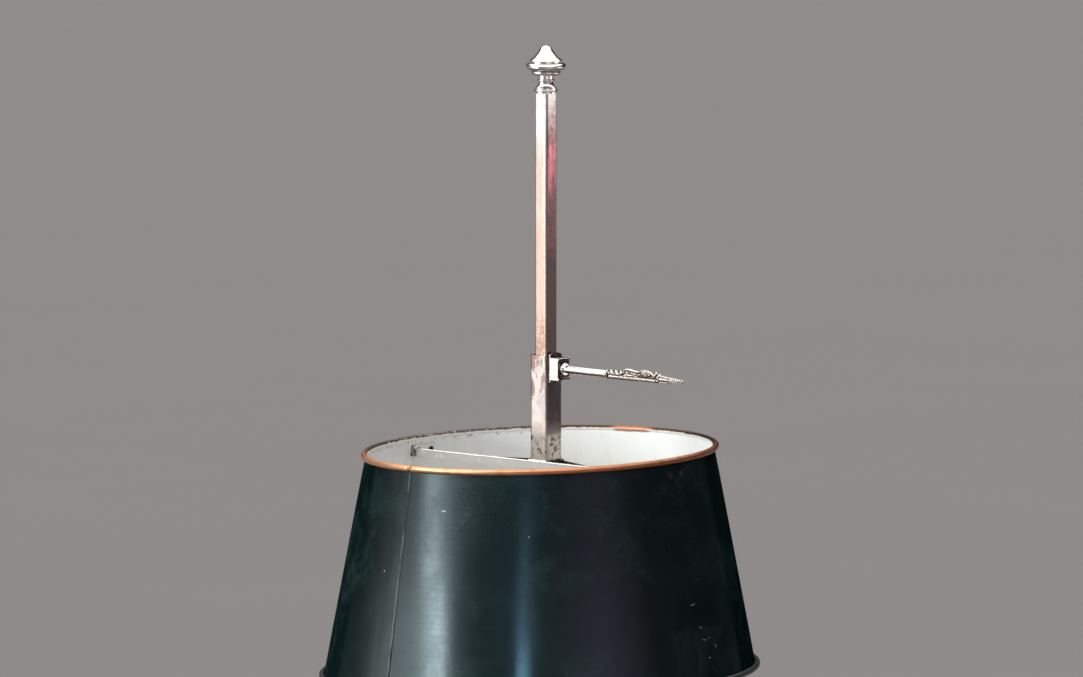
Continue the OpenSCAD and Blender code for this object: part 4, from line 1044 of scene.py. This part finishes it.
def panel_light(name, degrees, distance, height, size, radiance, color=(1, 1, 1), tilt=0.0, look=None):
    """
    A soft panel that faces the lamp's axis, or the point it looks at. Height is that of its middle,
    size is (width, height) and radiance is what a mirror would show of it. Tilt turns it in its own
    plane, in degrees.
    """
    light = bpy.data.lights.new(name, "AREA")
    light.shape = "RECTANGLE"
    light.size, light.size_y = size
    light.energy = radiance * math.pi * size[0] * size[1]
    light.color = color
    panel = in_scene(name, light)
    aim(panel, round_lamp(degrees, distance, height), look or (0, 0, height))
    panel.rotation_quaternion @= Quaternion((0, 0, 1), math.radians(tilt))
    panel.visible_camera = False
    return panel


# What stands round the lamp: degrees to the camera's right, and how bright it is there
WALLS = (
    (-180, (0.035, 0.035, 0.035)),
    (-164, (0.06, 0.06, 0.06)),
    (-134, (0.07, 0.07, 0.07)),
    (-116, (0.18, 0.18, 0.18)),
    (-102, (0.60, 0.60, 0.58)),
    (-90, (1.00, 1.00, 0.98)),
    (-76, (1.80, 1.86, 1.90)),
    (-58, (0.80, 0.86, 0.89)),
    (-46, (0.24, 0.28, 0.29)),
    (-24, (0.20, 0.24, 0.24)),
    (6, (0.20, 0.21, 0.22)),
    (36, (0.56, 0.40, 0.55)),
    (66, (0.09, 0.06, 0.07)),
    (106, (0.020, 0.014, 0.015)),
    (156, (0.022, 0.022, 0.022)),
    (180, (0.035, 0.035, 0.035)),
)
CEILING = (1.50, 1.50, 1.48)
CEILING_FROM = (0.42, 0.62)  # sine of the height at which the walls turn into the ceiling


def room_world():
    """A dim room round the lamp: light walls on the left, nearly dark on the right, a bright even ceiling."""
    world = bpy.data.worlds.new("room")
    world.use_nodes = True
    s = Shader.of_tree(world.node_tree)
    x, y, z = s.axes(s.direction)
    to_right = s.toward(x, y, VIEW_COS, VIEW_SIN)
    to_front = s.toward(x, y, VIEW_SIN, -VIEW_COS)
    turn = s.add(s.math("DIVIDE", s.math("ARCTAN2", to_right, to_front), math.tau), 0.5)
    wall = s.ramp(turn, [((degrees + 180) / 360, color) for degrees, color in WALLS])
    background = world.node_tree.nodes["Background"]
    s.put(background.inputs["Color"], s.mix(s.step(z, *CEILING_FROM), wall, CEILING))
    bpy.context.scene.world = world


def lights_only(light, pieces, state="INCLUDE"):
    """Lets a light reach only the given pieces, or every piece but them with the state EXCLUDE."""
    lit = bpy.data.collections.new("lit_by_" + light.name)
    for piece in pieces:
        lit.objects.link(piece)
    light.light_linking.receiver_collection = lit
    for entry in lit.collection_objects:
        entry.light_linking.link_state = state


def studio(ground, shade_pieces, silver_pieces, top_pieces):
    """Soft panels round the lamp; the floor has an even light of its own."""
    pale_blue, cool_white, warm_white = (0.42, 0.72, 1.0), (0.93, 0.97, 1.0), (1.0, 0.97, 0.95)
    cream, dim_cream = (1.0, 0.94, 0.90), (1.0, 0.92, 0.86)
    room_world()
    # The second window, whose blue stripe stands in the middle of the shade
    window = panel_light("window_front", -8.6, 2.4, 0.55, size=(0.22, 0.50), radiance=8, color=pale_blue)
    lights_only(window, shade_pieces)
    for name, degrees, radiance in (("silver_right", 88, 1.25), ("silver_front", 20, 0.60)):
        card = panel_light(name, degrees, 1.9, 0.40, size=(1.3, 0.60), radiance=radiance, color=cream)
        lights_only(card, silver_pieces)
    # Only the top of the stem's right face and the finial mirror this one
    card = panel_light("high_right", 92, 1.9, 0.52, size=(0.44, 0.20), radiance=1.0, color=dim_cream)
    lights_only(card, top_pieces)
    for light in (
        # The window whose bright upright stripe runs down the shade
        panel_light("window_left", -63, 1.2, 0.485, (0.62, 0.115), radiance=13, color=cool_white, tilt=-25),
        # A low panel that only the upright metal shows
        panel_light("low_left", -68, 1.9, 0.27, (2.3, 0.54), radiance=0.93, color=warm_white),
        panel_light("top_left", -72, 1.9, 1.75, (1.7, 1.2), radiance=3.1, look=(0, 0, 0.4)),
    ):
        lights_only(light, [ground], "EXCLUDE")
    sun = bpy.data.lights.new("floor_light", "SUN")
    sun.energy = 0.3
    sun.angle = math.radians(60)
    floor_light = in_scene("floor_light", sun)
    aim(floor_light, round_lamp(-95, 1.9, 3.0), (0, 0, 0))
    lights_only(floor_light, [ground])


def floor():
    """A plain pale floor."""
    half = 30
    corners = [(-half, -half, 0), (half, -half, 0), (half, half, 0), (-half, half, 0)]
    mesh = bpy.data.meshes.new("floor")
    mesh.from_pydata(corners, [], [(0, 1, 2, 3)])
    plane = in_scene("floor", mesh)
    s = Shader("floor")
    grain = s.noise(3, detail=6, roughness=0.6)
    color = s.mix(grain, (0.187, 0.177, 0.174), (0.194, 0.183, 0.180))
    mesh.materials.append(s.finish(Base_Color=color, Roughness=0.9))
    return plane


def camera():
    """The photograph's camera: far away, looking slightly down."""
    lens = bpy.data.cameras.new("camera")
    lens.lens = LENS
    lens.sensor_width = SENSOR
    lens.clip_start = 0.1
    lens.clip_end = 100
    eye = in_scene("camera", lens)
    level = math.cos(VIEW_ELEVATION)
    back = Vector((VIEW_SIN * level, -VIEW_COS * level, math.sin(VIEW_ELEVATION)))
    right = Vector((VIEW_COS, VIEW_SIN, 0))
    target = Vector((0, 0, VIEW_TARGET_Z)) - right * VIEW_TARGET_LEFT
    aim(eye, target + back * VIEW_DISTANCE, target)
    bpy.context.scene.camera = eye


# --- The scene ---

camera()
finishes = {
    "silver_plate": silver_plate(),
    "worn_silver": worn_silver(),
    "plain_brass": plain_brass(),
    "painted_sheet": green_paint(),
    "copper": copper(),
    "dark_rivet": dark_rivet(),
    "baize": baize(),
}
clamp = clamp_silver()
special = {
    "shade_bar": bar_paint(),
    "bar_strap": shadowed_strap(),
    "clamp_key": key_silver(),
    "clamp_boss": clamp,
    "clamp_plate": clamp,
    "key_bush": clamp,
    "sleeve": worn_silver("sleeve_silver", on_sleeve=True),
}
finish_nodes(finishes, special)
shade = build_shade(finishes["painted_sheet"], white_paint(), finishes["copper"], worn_rim_paint())
handle = cast_handle(cast_silver())
bright_solder = solder_metal("bright_solder", (0.95, 0.94, 0.92), (0.70, 0.66, 0.60))
# A dark copy of the solder, painted as solder lying in shadow beside the strap
shadow_solder = solder_metal("shadow_solder", (0.10, 0.085, 0.07), (0.02, 0.018, 0.016))
shine = solder_drops(bright_solder, shadow_solder)
edge = bar_edge(bright_solder)
silver = [NODES["finial"], NODES["clamp_key"], handle, shine, edge]
studio(floor(), shade, silver, [NODES["stem"], NODES["finial"]])
bpy.context.scene.view_settings.view_transform = "Standard"
